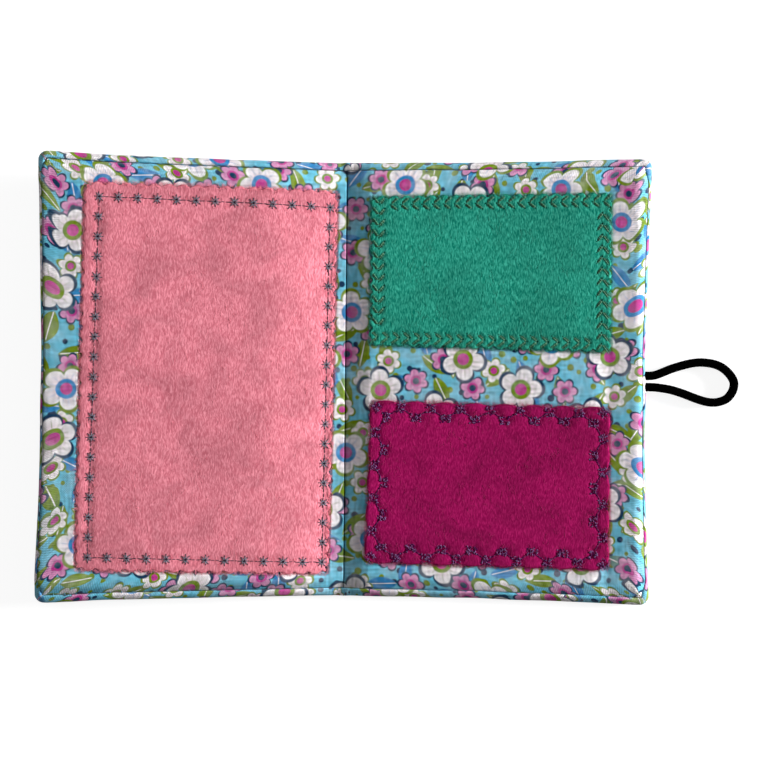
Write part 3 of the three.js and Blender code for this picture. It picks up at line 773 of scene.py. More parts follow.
class Copies:
    """Gathers many placed copies of small shapes in one bmesh."""

    def __init__(self):
        self.bm = bmesh.new()
        self.mesh = bpy.data.meshes.new("copy")

    def put(self, shape, matrix, finish=0):
        for face in shape.faces:
            face.material_index = finish
        shape.to_mesh(self.mesh)
        self.mesh.transform(matrix)
        self.bm.from_mesh(self.mesh)

    def done(self):
        bpy.data.meshes.remove(self.mesh)
        return self.bm


def rod(sides, rings, shape):
    """A unit rod along X; shape gives a ring's radius and offsets from the share along the rod."""
    bm = bmesh.new()
    bmesh.ops.create_cone(bm, segments=sides, radius1=1.0, radius2=1.0, depth=1.0, cap_ends=True)
    long_edges = [e for e in bm.edges if abs(e.verts[0].co.z - e.verts[1].co.z) > 0.5]
    bmesh.ops.subdivide_edges(bm, edges=long_edges, cuts=rings)
    flat = bm.loops.layers.uv.new("flat")
    for face in bm.faces:
        turns = [math.atan2(loop.vert.co.y, loop.vert.co.x) / math.tau for loop in face.loops]
        wrap = max(turns) - min(turns) > 0.5
        for loop, turn in zip(face.loops, turns):
            loop[flat].uv = (loop.vert.co.z + 0.5, turn + 1 if wrap and turn < 0 else turn)
    for vert in bm.verts:
        share = vert.co.z + 0.5
        radius, across, up = shape(share)
        vert.co = Vector((share - 0.5, across + radius * vert.co.x, up + radius * vert.co.y))
    bmesh.ops.recalc_face_normals(bm, faces=bm.faces)
    return bm


def stitch_shape(radius, arch):
    """A stitch that rises out of the cloth, lies along it and goes in again."""
    def shape(share):
        lift = 1 - (2 * share - 1) ** 4
        return radius * (0.55 + 0.45 * lift), 0.0, arch * lift - radius
    return rod(6, 4, shape)


def fibre_shape(bow, radius):
    """A fine fibre that curves along the felt and tapers to both ends."""
    def shape(share):
        swell = 4 * share * (1 - share)
        return radius * (0.35 + 0.65 * swell), bow * swell, 0.0
    return rod(3, 3, shape)


def hole_shade_lens(radius):
    """A flat dark lens of painted shade, set where a needle hole would hold its shadow."""
    bm = bmesh.new()
    bmesh.ops.create_uvsphere(bm, u_segments=6, v_segments=4, radius=radius)
    bmesh.ops.scale(bm, vec=(1, 1, 0.3), verts=bm.verts)
    bm.loops.layers.uv.new("flat")
    return bm


def between(start, end):
    """The matrix that lays a unit rod from one point to another."""
    run = end - start
    across = Vector((0, 0, 1)).cross(run).normalized()
    along = run.normalized()
    up = along.cross(across)
    turn = Matrix((along, across, up)).transposed().to_4x4()
    return Matrix.Translation((start + end) / 2) @ turn @ Matrix.Diagonal((run.length, 1, 1, 1))


# Felts


def corner_points(corners):
    return [Vector((x * MM, y * MM, 0)) for x, y in corners]


def inset_corners(points, inset):
    moved = []
    for index, point in enumerate(points):
        into = (point - points[index - 1]).normalized()
        out = (points[(index + 1) % len(points)] - point).normalized()
        moved.append(point + (out - into) * inset / into.cross(out).z)
    return moved


def walk(corners, pitch, inset):
    """Steps round a felt at that inset, whole on each side: place, ways along and in, length."""
    line = inset_corners(corner_points(corners), inset)
    steps = []
    for index, start in enumerate(line):
        end = line[(index + 1) % len(line)]
        repeats = round((end - start).length / pitch)
        along = (end - start).normalized()
        inward = Vector((-along.y, along.x, 0))
        stride = (end - start).length / repeats
        steps += [
            (start + along * stride * step, along, inward, stride) for step in range(repeats)
        ]
    return steps


def felt_surface(x):
    """Height of the top of a felt on the flat book; the front cover's felt follows its padding."""
    return FELT_TOP + crown(x) - COVER_TOP * (1 - fall(x)) if x < 0 else FELT_TOP


def felt_lines(length):
    """Shares along a side of a felt: close lines at its soft edges, fine ones under its border."""
    near = [0.0, 0.15 * MM, 0.4 * MM, 0.8 * MM]
    near += [0.8 * MM + 0.5 * MM * step for step in range(1, 17)]
    open_run = length - 2 * near[-1]
    count = round(open_run / (0.75 * MM))
    middle = [near[-1] + open_run * index / count for index in range(1, count)]
    lines = near + middle + [length - value for value in reversed(near)]
    return [value / length for value in lines]


def rounded_corner(point, corner, one, two, radius):
    """Moves a point so that a square corner turns in a curve; one and two point into the felt."""
    x = radius - (point - corner).dot(one)
    y = radius - (point - corner).dot(two)
    if min(x, y) <= 0:
        return point
    share = max(x, y) / math.hypot(x, y)
    return point + one * x * (1 - share) + two * y * (1 - share)


def felt_sheet(corners, scallops, dents):
    """A felt cut in scallops, with soft edges, pulled down where stitches cross it.

    Each dent is a point whose third and fourth values are its radius and depth."""
    points = corner_points(corners)
    pitch, inset, shift, depth, corner_radius = scallops
    line = inset_corners(points, inset)
    columns = felt_lines((points[1] - points[0]).length)
    rows = felt_lines((points[2] - points[1]).length)
    sides = []
    for index in range(4):
        start, end = points[index], points[(index + 1) % 4]
        along = (end - start).normalized()
        inward = Vector((-along.y, along.x, 0))
        run = (line[(index + 1) % 4] - line[index]).length
        stride = run / round(run / pitch)
        sides.append((start, along, inward, (line[index] - start).dot(along), stride))
    cell = 4 * MM
    near_dents = {}
    for dent in dents:
        near_dents.setdefault((round(dent.x / cell), round(dent.y / cell)), []).append(dent)

    def pulled(x, y):
        deep = 0.0
        column, row = round(x / cell), round(y / cell)
        for key in [(column + dx, row + dy) for dx in (-1, 0, 1) for dy in (-1, 0, 1)]:
            for dent in near_dents.get(key, ()):
                away = math.hypot(dent.x - x, dent.y - y)
                deep = max(deep, dent.w * math.exp(-(away / dent.z) ** 2))
        return deep

    def place(column, row):
        s, t = columns[column], rows[row]
        start = points[0].lerp(points[1], s).lerp(points[3].lerp(points[2], s), t)
        edge = max(min((start - corner).dot(inward) for corner, _, inward, _, _ in sides), 0.0)
        point = start
        for index, (corner, along, inward, begin, stride) in enumerate(sides):
            before = -sides[index - 1][1]
            point = rounded_corner(point, corner, along, before, corner_radius)
            ease = max(1 - (start - corner).dot(inward) / (2.8 * MM), 0.0) ** 2
            phase = ((start - corner).dot(along) - begin) / stride + shift
            point = point + inward * depth * ease * (1 - abs(math.cos(phase * math.pi)))
        x, y, _ = point
        round_off = 0.7 * MM
        shoulder = round_off * (1 - math.sqrt(1 - max(1 - edge / round_off, 0.0) ** 2))
        wave = 0.05 * MM * uneven(x, y, 0.3, 90)
        curl = 0.13 * MM * max(1 - edge / (3 * MM), 0.0) * uneven(x, y, 0.7, 70)
        return Vector((x, y, felt_surface(x) + wave + curl - shoulder - pulled(x, y))), (x, y)

    bm = cloth_grid(len(columns) - 1, len(rows) - 1, place)
    lower = bmesh.ops.extrude_face_region(bm, geom=list(bm.faces), use_keep_orig=True)
    for item in lower["geom"]:
        if isinstance(item, bmesh.types.BMVert):
            item.co.z = felt_surface(item.co.x) - sizes().felt
    bmesh.ops.recalc_face_normals(bm, faces=bm.faces)
    return bm


def felt_fibres(corners, seed):
    """Loose fibres that lie on a felt, and a fringe of thicker ones out of its cut edge."""
    chance = random.Random(seed)
    points = corner_points(corners)
    area = (points[1] - points[0]).length * (points[3] - points[0]).length
    shapes = [fibre_shape(bow * MM, sizes().fibre / 2) for bow in (-0.5, -0.2, 0.15, 0.45)]
    copies = Copies()
    for _ in range(int(area * 1e4 * sizes().fibres)):
        s, t = chance.random(), chance.random()
        if chance.random() < 0.08:
            s, t = chance.choice([(s, 0.012), (s, 0.988), (0.012, t), (0.988, t)])
        spot = points[0].lerp(points[1], s).lerp(points[3].lerp(points[2], s), t)
        spot.z = felt_surface(spot.x) + chance.uniform(-0.05, 0.02) * MM
        heading = math.radians(90 + chance.gauss(0, 30))
        span = (3.0, 5.5) if chance.random() < 0.06 else (0.9, 2.8)
        reach = chance.uniform(*span) * MM
        rise = chance.uniform(-0.02, 0.02)
        along = Vector((math.cos(heading), math.sin(heading), rise)) * reach
        copies.put(chance.choice(shapes), between(spot - along / 2, spot + along / 2))
    thick = Matrix.Diagonal((1, 1.7, 1.7, 1))
    for spot, along, inward, stride in walk(corners, 0.16 * MM, 0.9 * MM):
        root = spot + along * stride * chance.random() + inward * chance.uniform(-0.45, 0.5) * MM
        root.z = felt_surface(root.x) - chance.uniform(0.02, 0.5) * MM
        fan = Matrix.Rotation(math.radians(chance.gauss(0, 38)), 3, "Z")
        tip = root - fan @ inward * chance.uniform(0.7, 1.6) * MM
        tip.z += chance.uniform(-0.05, 0.2) * MM
        copies.put(chance.choice(shapes), between(root, tip) @ thick)
    for shape in shapes:
        shape.free()
    return copies.done()


# Borders


def star_places():
    """Places of the stars, with the way along, the way in and the step."""
    return walk(STAR_CORNERS, STAR_PITCH, 0.0)


def plait_legs():
    """The plait's stitches by their two ends: from the edge to the middle row, then inwards."""
    legs = []
    for spot, along, inward, stride in walk(GREEN_CORNERS, PLAIT_PITCH, PLAIT_INSET):
        legs.append((spot - along * 0.84 * stride - inward * 2.6 * MM, spot))
        legs.append((spot, spot - along * 0.7 * stride + inward * 2.0 * MM))
    return legs


def flower_steps():
    """Steps round the flower border: inner flower, outer one, next inner one, ways along and in."""
    for spot, along, inward, stride in walk(MAGENTA_CORNERS, FLOWER_PITCH, FLOWER_INSET):
        notch = spot + along * stride / 2 - inward * FLOWER_ROWS
        yield spot, notch, spot + along * stride, along, inward


def flower_places():
    """Places of all flowers with the ways along and in, and whether each is in the inner row."""
    places = []
    for spot, notch, _, along, inward in flower_steps():
        places += [(spot, along, inward, True), (notch, along, inward, False)]
    corners = corner_points(MAGENTA_CORNERS)
    for corner, spot in zip(corners, inset_corners(corners, 2.2 * MM)):
        way = (spot - corner).normalized()
        places.append((spot, Vector((-way.y, way.x, 0)), way, False))
    return places


def flower_links():
    """Ends of the lines that run in and out between the two rows of flowers."""
    return [
        link for spot, notch, following, _, _ in flower_steps()
        for link in ((spot, notch), (notch, following))
    ]


def dents_of(node):
    """Where stitches pull a felt down: points with a dent's radius and depth as last two values."""
    if node == "pink_felt":
        dents = []
        for spot, along, _, stride in star_places():
            dents.append((spot, 1.0, 1.0))
            dents += [(spot + along * stride * step / 8, 1.5, 0.7) for step in range(8)]
    elif node == "green_felt":
        shares = (0.3, 0.65)
        dents = [(start.lerp(end, at), 0.7, 1.0) for start, end in plait_legs() for at in shares]
    else:
        shares = (0.36, 0.5, 0.64)
        dents = [(start.lerp(end, at), 0.8, 1.0) for start, end in flower_links() for at in shares]
        for spot, along, _, _ in flower_places():
            dents += [(spot + along * step * MM, 1.4, 1.2) for step in (-1, 0, 1)]
    pucker = sizes().pucker
    return [Vector((spot.x, spot.y, size * MM, share * pucker)) for spot, size, share in dents]


class Sewing(Copies):
    """Gathers the stitches of a border and the painted shade of its needle holes; sink is how deep
    they lie in the felt.
    """

    @staticmethod
    def sunk(spot, sink):
        return Vector((spot.x, spot.y, felt_surface(spot.x) - sink))

    def sew(self, shape, start, end, finish, sink):
        self.put(shape, between(self.sunk(start, sink), self.sunk(end, sink)), finish)

    def hole_shade(self, shape, spot, sink):
        self.put(shape, Matrix.Translation(self.sunk(spot, sink)), PAINTED_HOLE_SHADE)


def star_stitches():
    """Eight-armed stars on running stitches: pale in the middle, dark at the needle holes, where
    the dark thread colour is painted shade.
    """
    border = Sewing()
    radius = sizes().embroidery
    arm = stitch_shape(radius * 0.78, 0.18 * MM)
    tip = stitch_shape(radius * 0.72, 0.12 * MM)
    dash = stitch_shape(radius * 0.62, 0.16 * MM)
    hole_shade = hole_shade_lens(0.36 * MM)
    chance = random.Random(11)
    gap = 1.75 * MM
    for spot, along, inward, stride in star_places():
        border.hole_shade(hole_shade, spot, -0.1 * MM)
        for step in range(8):
            turn = step * math.pi / 4 + chance.gauss(0, 0.07)
            way = along * math.cos(turn) + inward * math.sin(turn)
            reach = (1.95 + chance.uniform(-0.2, 0.2)) * MM
            border.sew(arm, spot + way * 0.2 * MM, spot + way * 0.74 * reach, PALE, 0.1 * MM)
            # The dark tip of each arm is painted shade where the thread goes into the felt.
            border.sew(tip, spot + way * 0.6 * reach, spot + way * reach, PAINTED_SHADE, 0.06 * MM)
        # The dashes between the stars are dark too: painted shade where they lie pulled into the
        # felt.
        half = (stride - 2 * gap) / 2
        for side in (0.0, 1.0):
            start = spot + along * (gap + side * half)
            border.sew(dash, start, start + along * half, PAINTED_SHADE, 0.24 * MM)
    return border.done()


def plait_stitches():
    """Slanted stitches from the edge to a middle row of needle holes, and shorter ones inwards."""
    border = Sewing()
    leg = stitch_shape(sizes().embroidery * 1.1, 0.24 * MM)
    hole_shade = hole_shade_lens(0.36 * MM)
    for start, end in plait_legs():
        across = Vector((start.y - end.y, end.x - start.x, 0)).normalized() * 0.3 * MM
        border.hole_shade(hole_shade, end, 0.1 * MM)
        # Each leg is a pale strand with a dark twin beside it; the dark twin is painted shade.
        border.sew(leg, start + across, end + across * 0.6, PALE, 0.16 * MM)
        border.sew(leg, start - across, end - across * 0.6, PAINTED_SHADE, 0.26 * MM)
    return border.done()


def flower_stitches():
    """Two rows of small sewn flowers, each a knot of short stitches, and the lines between them."""
    border = Sewing()
    radius = sizes().embroidery
    petal = stitch_shape(radius * 0.68, 0.2 * MM)
    dash = stitch_shape(radius * 0.55, 0.12 * MM)
    hole_shade = hole_shade_lens(0.32 * MM)
    chance = random.Random(23)
    for centre, along, inward, inner in flower_places():
        wide, deep = (1.8, 1.45) if inner else (1.6, 1.6)

        def anywhere():
            across = along * chance.uniform(-wide, wide)
            return centre + (across + inward * chance.uniform(-deep, deep)) * MM

        for index in range(26):
            turn = chance.uniform(0, math.pi)
            way = along * math.cos(turn) + inward * math.sin(turn)
            spot = anywhere()
            half = way * chance.uniform(0.22, 0.5) * MM
            # Every other stitch takes the dark thread colour, which is painted shade among the pale
            # stitches.
            finish = (PALE, PAINTED_SHADE)[index % 2]
            border.sew(petal, spot - half, spot + half, finish, (0.1 + 0.1 * finish) * MM)
        for _ in range(10):
            border.hole_shade(hole_shade, anywhere(), 0.12 * MM)
    # The lines between the flowers take the dark thread colour, painted shade where they sink into
    # the felt.
    for start, end in flower_links():
        for one, two in ((0.22, 0.38), (0.42, 0.58), (0.62, 0.78)):
            border.sew(dash, start.lerp(end, one), start.lerp(end, two), PAINTED_SHADE, 0.2 * MM)
            border.hole_shade(hole_shade, start.lerp(end, two + 0.02), 0.2 * MM)
    return border.done()


# Operators


class Maker:
    """What all operators here share."""
    bl_options = {"REGISTER", "UNDO"}


class NEEDLEBOOK_OT_elastic(Maker, bpy.types.Operator):
    """Braided elastic loop with its two tails in the seam, and the thread that binds them"""
    bl_idname = "needle_book.elastic"
    bl_label = "Elastic loop"

    def execute(self, context):
        radius = sizes().elastic / 2
        path = self.even_path(self.route(), 0.24 * MM)
        total = sum((two - one).length for one, two in zip(path, path[1:]))
        sides = 32
        last = len(path) - 1

        def place(column, row):
            along = (path[min(column + 1, last)] - path[max(column - 1, 0)]).normalized()
            across = Vector((0, 0, 1)).cross(along).normalized()
            up = along.cross(across)
            turn = math.tau * row / sides
            walked = total * column / last
            left = abs(math.sin(4 * turn + math.pi * walked / BRAID_PITCH))
            right = abs(math.sin(4 * turn - math.pi * walked / BRAID_PITCH))
            swell = radius - 0.09 * MM * (1 - max(left, right))
            point = path[column] + (across * math.cos(turn) + up * math.sin(turn)) * swell
            return point, (row / sides, walked)

        bm = cloth_grid(last, sides, place)
        bmesh.ops.remove_doubles(bm, verts=bm.verts, dist=0.001 * MM)
        bmesh.ops.holes_fill(bm, edges=bm.edges, sides=0)
        bmesh.ops.recalc_face_normals(bm, faces=bm.faces)
        loop = piece(bm, "elastic_cord", [braided()])
        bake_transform(loop)
        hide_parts("elastic_loop", "elastic_tail_upper", "elastic_tail_lower")
        finish = twisted("binding_thread", tint("sewing"))
        tack = self.bind(radius + 0.16 * MM)
        rider(tack, "elastic_binding", [finish], "back_cover", "sewing_thread", "elastic_tack")
        return {"FINISHED"}

    @staticmethod
    def route():
        """Points on the line of the elastic: one tail, the loop and the other tail."""
        points = [Vector((x * MM, TAIL_UPPER, CORD_HEIGHT)) for x in TAIL_STEPS]
        for out, along, sunk in LOOP_ROUTE:
            level = CORD_HEIGHT + (CORD_LOW - CORD_HEIGHT) * sunk
            points.append(Vector(((LOOP_ROOT + out) * MM, along * MM, level)))
        return points + [Vector((x * MM, TAIL_LOWER, CORD_HEIGHT)) for x in reversed(TAIL_STEPS)]

    @staticmethod
    def even_path(points, step):
        """Points at even steps on a smooth curve through the given ones."""
        curve = []
        padded = [2 * points[0] - points[1], *points, 2 * points[-1] - points[-2]]
        for a, b, c, d in zip(padded, padded[1:], padded[2:], padded[3:]):
            count = max(2, round((c - b).length / (0.1 * MM)))
            handles = b + (c - a) / 6, c - (d - b) / 6
            curve += geometry.interpolate_bezier(b, *handles, c, count + 1)[:-1]
        curve.append(points[-1])
        walked = [0.0]
        for one, two in zip(curve, curve[1:]):
            walked.append(walked[-1] + (two - one).length)
        count = round(walked[-1] / step)
        path, place = [], 0
        for index in range(count + 1):
            goal = walked[-1] * index / count
            while place < len(curve) - 2 and walked[place + 1] < goal:
                place += 1
            share = (goal - walked[place]) / (walked[place + 1] - walked[place])
            path.append(curve[place].lerp(curve[place + 1], share))
        return path

    @staticmethod
    def bind(reach):
        """Six turns of thread round both tails, at that distance from their middles."""
        copies = Copies()
        turn = stitch_shape(sizes().sewing, 0.0)
        corner = [
            (TAIL_UPPER + reach, 0.55), (TAIL_UPPER + 0.6 * reach, 1.0),
            (TAIL_LOWER - 0.6 * reach, 1.0), (TAIL_LOWER - reach, 0.55),
        ]
        outline = [(y, CORD_HEIGHT + reach * up) for y, up in corner]
        outline += [(y, CORD_HEIGHT - reach * up) for y, up in reversed(corner)]
        for wind in range(6):
            x = 97.1 * MM + wind * 0.2 * MM
            for one, two in zip(outline, outline[1:] + outline[:1]):
                copies.put(turn, between(Vector((x, *one)), Vector((x + 0.02 * MM, *two))))
        return copies.done()


class NEEDLEBOOK_OT_outer_cloth(Maker, bpy.types.Operator):
    """One outer cloth round both covers, rolled over the edge and grooved at the spine"""
    bl_idname = "needle_book.outer_cloth"
    bl_label = "Outer cloth"

    def execute(self, context):
        stations = [(inset * MM, level * MM) for inset, level in (
            (2.86, 4.5), (2.85, 4.9), (2.74, 5.2), (2.4, 5.32), (1.95, 5.2), (1.45, 4.9),
            (0.95, 4.45), (0.5, 3.9), (0.16, 3.3), (0, 2.6), (0.08, 1.95), (0.3, 1.3),
            (0.7, 0.7), (1.2, 0.3), (1.8, 0.08), (2.5, 0), (4, 0),
        )]
        fine = 0.24 * MM
        tight = fine * (len(stations) - 1)
        columns = grid_lines((8 * MM, 0.5 * MM), (100 * MM, 1.7 * MM), (100 * MM + tight, fine))
        rows = grid_lines((6 * MM, 0.5 * MM), (72 * MM, 1.7 * MM), (72 * MM + tight, fine))

        def height(x, y, level):
            groove = SPINE_GROOVE * (1 - smooth(abs(x) / SPINE_REACH))
            top = COVER_TOP * (fall(x) if abs(x) > 2 * MM else over_crease(x))
            soft = 0.06 * MM * uneven(x, y, level, 130) * ramp(level, 0, 2)
            stand = raised(x, y) * ramp(level, 2.6, 2)
            level -= 0.4 * max(level - 4.1 * MM, 0.0) * ramp(x, 97, 3)
            stand += crown(x) * ramp(level, 3, 1) * 0.3
            return groove + level / COVER_TOP * (top - groove) + soft + stand

        no_shift, spare = (0.0, 0.0), 6 * MM
        bm = turned_sheet(columns, rows, stations, rim_inset, height, OUTER_BEND, no_shift, spare)
        bmesh.ops.reverse_faces(bm, faces=bm.faces)
        self.open_seam(bm)
        cloth = piece(bm, "outer_cloth", [context.scene.needle_book_print])
        thickened(cloth, sizes().cloth)
        nodes = ("front_outer_cloth", "back_outer_cloth", "spine_fold")
        creased(cloth, OUTER_BEND, "printed_cotton", *nodes)
        return {"FINISHED"}

    @staticmethod
    def open_seam(bm):
        """Leaves the seam open where the two ends of the elastic go in."""
        gap = sizes().elastic / 2 + 0.1 * MM
        inside = []
        for face in bm.faces:
            x, y, z = face.calc_center_median()
            near = min(math.hypot(y - tail, z - CORD_HEIGHT) for tail in (TAIL_UPPER, TAIL_LOWER))
            if x > 98 * MM and z > 0.6 * MM and near < gap:
                inside.append(face)
        bmesh.ops.delete(bm, geom=inside, context="FACES")


class NEEDLEBOOK_OT_lining(Maker, bpy.types.Operator):
    """One padded lining across both covers, tucked in at the seam and creased in the middle"""
    bl_idname = "needle_book.lining"
    bl_label = "Lining"

    def execute(self, context):
        stations = [(inset * MM, level * MM) for inset, level in (
            (2.98, 4.5), (2.99, 4.9), (3.16, 5.14), (3.7, 5.27), (4.6, 5.35), (5.8, 5.4),
            (7.5, 5.4),
        )]
        fine = 0.3 * MM
        tight = fine * (len(stations) - 1)
        columns = grid_lines(
            (1.2 * MM, 0.12 * MM), (9 * MM, 0.4 * MM), (86 * MM, 1.25 * MM),
            (98 * MM, 0.6 * MM), (98 * MM + tight, fine),
        )
        rows = grid_lines((70 * MM, 1.25 * MM), (70 * MM + tight, fine))
        felts = (PINK_CORNERS, GREEN_CORNERS, MAGENTA_CORNERS)

        def height(x, y, level):
            across = abs(x)
            side = COVER_WIDTH - SIDE_DRAW - across - SEAM_INSET
            end = cover_end(across) - abs(y) - SEAM_INSET
            seam = min(side, end)
            felt = min(beyond(x, y, corners) for corners in felts)
            open_cloth = ramp(end, 0, 4) * ramp(felt, -1.5, 2)
            lift = puffed(x, side) * open_cloth
            ripple = uneven(x, y, 0.2, 130) * 0.06 * MM * open_cloth * ramp(across, 0, 3)
            gather = math.sin((x + y) / (1.15 * MM) + 3 * uneven(x, y, 0, 60))
            gather *= ramp(seam, 0, 1) * (1 - ramp(seam, 0, 5)) * ramp(across, 0, 6)
            ripple += 0.05 * MM * gather
            return level * fall(x) + lift + ripple + crown(x) * ramp(end, 0, 3)

        shift = (0.317, 0.171)
        bm = turned_sheet(columns, rows, stations, tuck_inset, height, LINING_BEND, shift)
        lining = piece(bm, "lining", [context.scene.needle_book_print])
        thickened(lining, sizes().cloth)
        creased(lining, LINING_BEND, "printed_cotton", "front_lining", "back_lining")
        return {"FINISHED"}


class NEEDLEBOOK_OT_padding(Maker, bpy.types.Operator):
    """Wadding of both covers, and the finish of the stiffening boards"""
    bl_idname = "needle_book.padding"
    bl_label = "Wadding and boards"

    def execute(self, context):
        finish = fleece()
        for cover, side in COVERS:
            name, body = f"{cover}_padding", f"{cover}_cover"
            pad = rider(self.wadding(side), name, [finish], body, "wadding", f"{cover}_wadding")
        board = pressed_board()
        for cover, _ in COVERS:
            mesh = bpy.data.objects[f"{cover}_stiffener"].data
            mesh.materials.clear()
            mesh.materials.append(board)
        return {"FINISHED"}

    @staticmethod
    def wadding(side):
        """A soft slab between board and lining, thinner towards its edges."""
        near, far = 8.5 * MM, 92.5 * MM if side > 0 else 100 * MM
        low, least = 2.45 * MM, 0.3 * MM
        bm = bmesh.new()
        bmesh.ops.create_cube(bm, size=2.0)
        bmesh.ops.subdivide_edges(bm, edges=bm.edges, cuts=24, use_grid_fill=True)
        for vert in bm.verts:
            a, b, c = vert.co
            full = (1 - 0.22 * a ** 8) * (1 - 0.22 * b ** 8)
            across = (near + far) / 2 + a * (far - near) / 2
            x, y = drawn_in(across, b * (cover_end(across) - 5.5 * MM))
            lump = uneven(x, y, c * 0.01, 160) * 0.12 * MM
            top = COVER_TOP * fall(side * x) - sizes().cloth - 0.35 * MM
            z = low + (max(top, low + least) - low) * (0.5 + 0.5 * c * full) + lump * full
            vert.co = Vector((side * x, y, z))
        bmesh.ops.recalc_face_normals(bm, faces=bm.faces)
        return bm


class NEEDLEBOOK_OT_seams(Maker, bpy.types.Operator):
    """Slip stitches that close the lining to the rim, and the line of sewing in the crease"""
    bl_idname = "needle_book.seams"
    bl_label = "Seams"

    def execute(self, context):
        thread = tint("sewing")
        finish = twisted("sewing_thread", thread, 0.6)
        for cover, side in COVERS:
            stitches, node = self.slip_stitches(side), f"{cover}_edge_seam"
            rider(stitches, f"{cover}_seam", [finish], f"{cover}_cover", "sewing_thread", node)
        # The crease thread is made nearly black, as painted shade for the dark line down the
        # crease.
        deep = twisted("crease_shade_thread", toned(thread, 0.08), 0.8)
        crease = piece(self.crease_stitches(), "crease_seam", [deep])
        creased(crease, LINING_BEND, "sewing_thread", "crease_stitching")
        return {"FINISHED"}

    @staticmethod
    def slip_stitches(side):
        """Short slanted stitches in the groove beside the rim, along three sides of a cover."""
        copies = Copies()
        shape = stitch_shape(sizes().sewing, 0.12 * MM)
        ends = [(side * (0.1 + 0.9 * step / 24), 1.0) for step in range(24)]
        edge = [(side * 1.0, 1 - 2 * step / 36) for step in range(1, 36)]
        for a, b in ends + edge + [(a, -1.0) for a, _ in reversed(ends)]:
            slim = 1.4 * MM * at_side(a, b)
            spot = Vector((*cover_edge(a, b, 2.6 * MM - slim), 0))
            inner = Vector((*cover_edge(a, b, 3.35 * MM - slim), 0))
            way = (inner - spot).normalized()
            slant = Vector((-way.y, way.x, 0)) * 0.55 * MM
            level = 5.12 * MM * fall(spot.x) + 0.3 * crown(spot.x) + raised(spot.x, spot.y)
            level -= 0.6 * MM * ramp(spot.x, 97, 3)
            start, end = spot - slant, inner + slant
            start.z = end.z = level
            copies.put(shape, between(start, end))
        return copies.done()

    @staticmethod
    def crease_stitches():
        """A straight line of long stitches at the bottom of the crease."""
        copies = Copies()
        shape = stitch_shape(sizes().sewing * 1.5, 0.06 * MM)
        level = COVER_TOP * fall(0) + 0.12 * MM
        half = 1.24 * MM
        for step in range(-29, 30):
            middle = step * 2.5 * MM
            ends = [leaned(0, y, level, LINING_BEND) for y in (middle - half, middle + half)]
            copies.put(shape, between(*ends))
        return copies.done()


class NEEDLEBOOK_OT_felts(Maker, bpy.types.Operator):
    """The three felts with their loose fibres"""
    bl_idname = "needle_book.felts"
    bl_label = "Felts"

    def execute(self, context):
        for node, body, corners, seed, scallops, grain in FELTS:
            colour = tint(node)
            short = node.split("_")[0]
            finish = felted(node, colour, *grain)
            sheet = felt_sheet(corners, scallops, dents_of(node))
            leaf = rider(sheet, f"{short}_leaf", [finish], body, node, node)
            finish = fibre_finish(f"{short}_fibre", colour)
            fuzz = rider(felt_fibres(corners, seed), f"{short}_fibres", [finish], body, node)
        return {"FINISHED"}


class NEEDLEBOOK_OT_borders(Maker, bpy.types.Operator):
    """The star, plait and flower borders, stitch by stitch"""
    bl_idname = "needle_book.borders"
    bl_label = "Sewn borders"

    def execute(self, context):
        for name, stitches, thread, body in (
            ("star", star_stitches, "slate", "front_cover"),
            ("plait", plait_stitches, "fern", "back_cover"),
            ("flower", flower_stitches, "plum", "back_cover"),
        ):
            # The dark colour of each thread is painted shade: the shaded copy of the thread and the
            # needle holes take it.
            pale, dark = tint(thread), tint(f"{thread}_dark")
            slot = f"{thread}_thread"
            finishes = [
                twisted(slot, pale), twisted(f"{slot}_dark", dark),
                needle_hole_shade(f"{name}_needle_hole_shade", dark),
            ]
            rider(stitches(), f"{name}_border", finishes, body, slot, f"{name}_stitching")
        return {"FINISHED"}


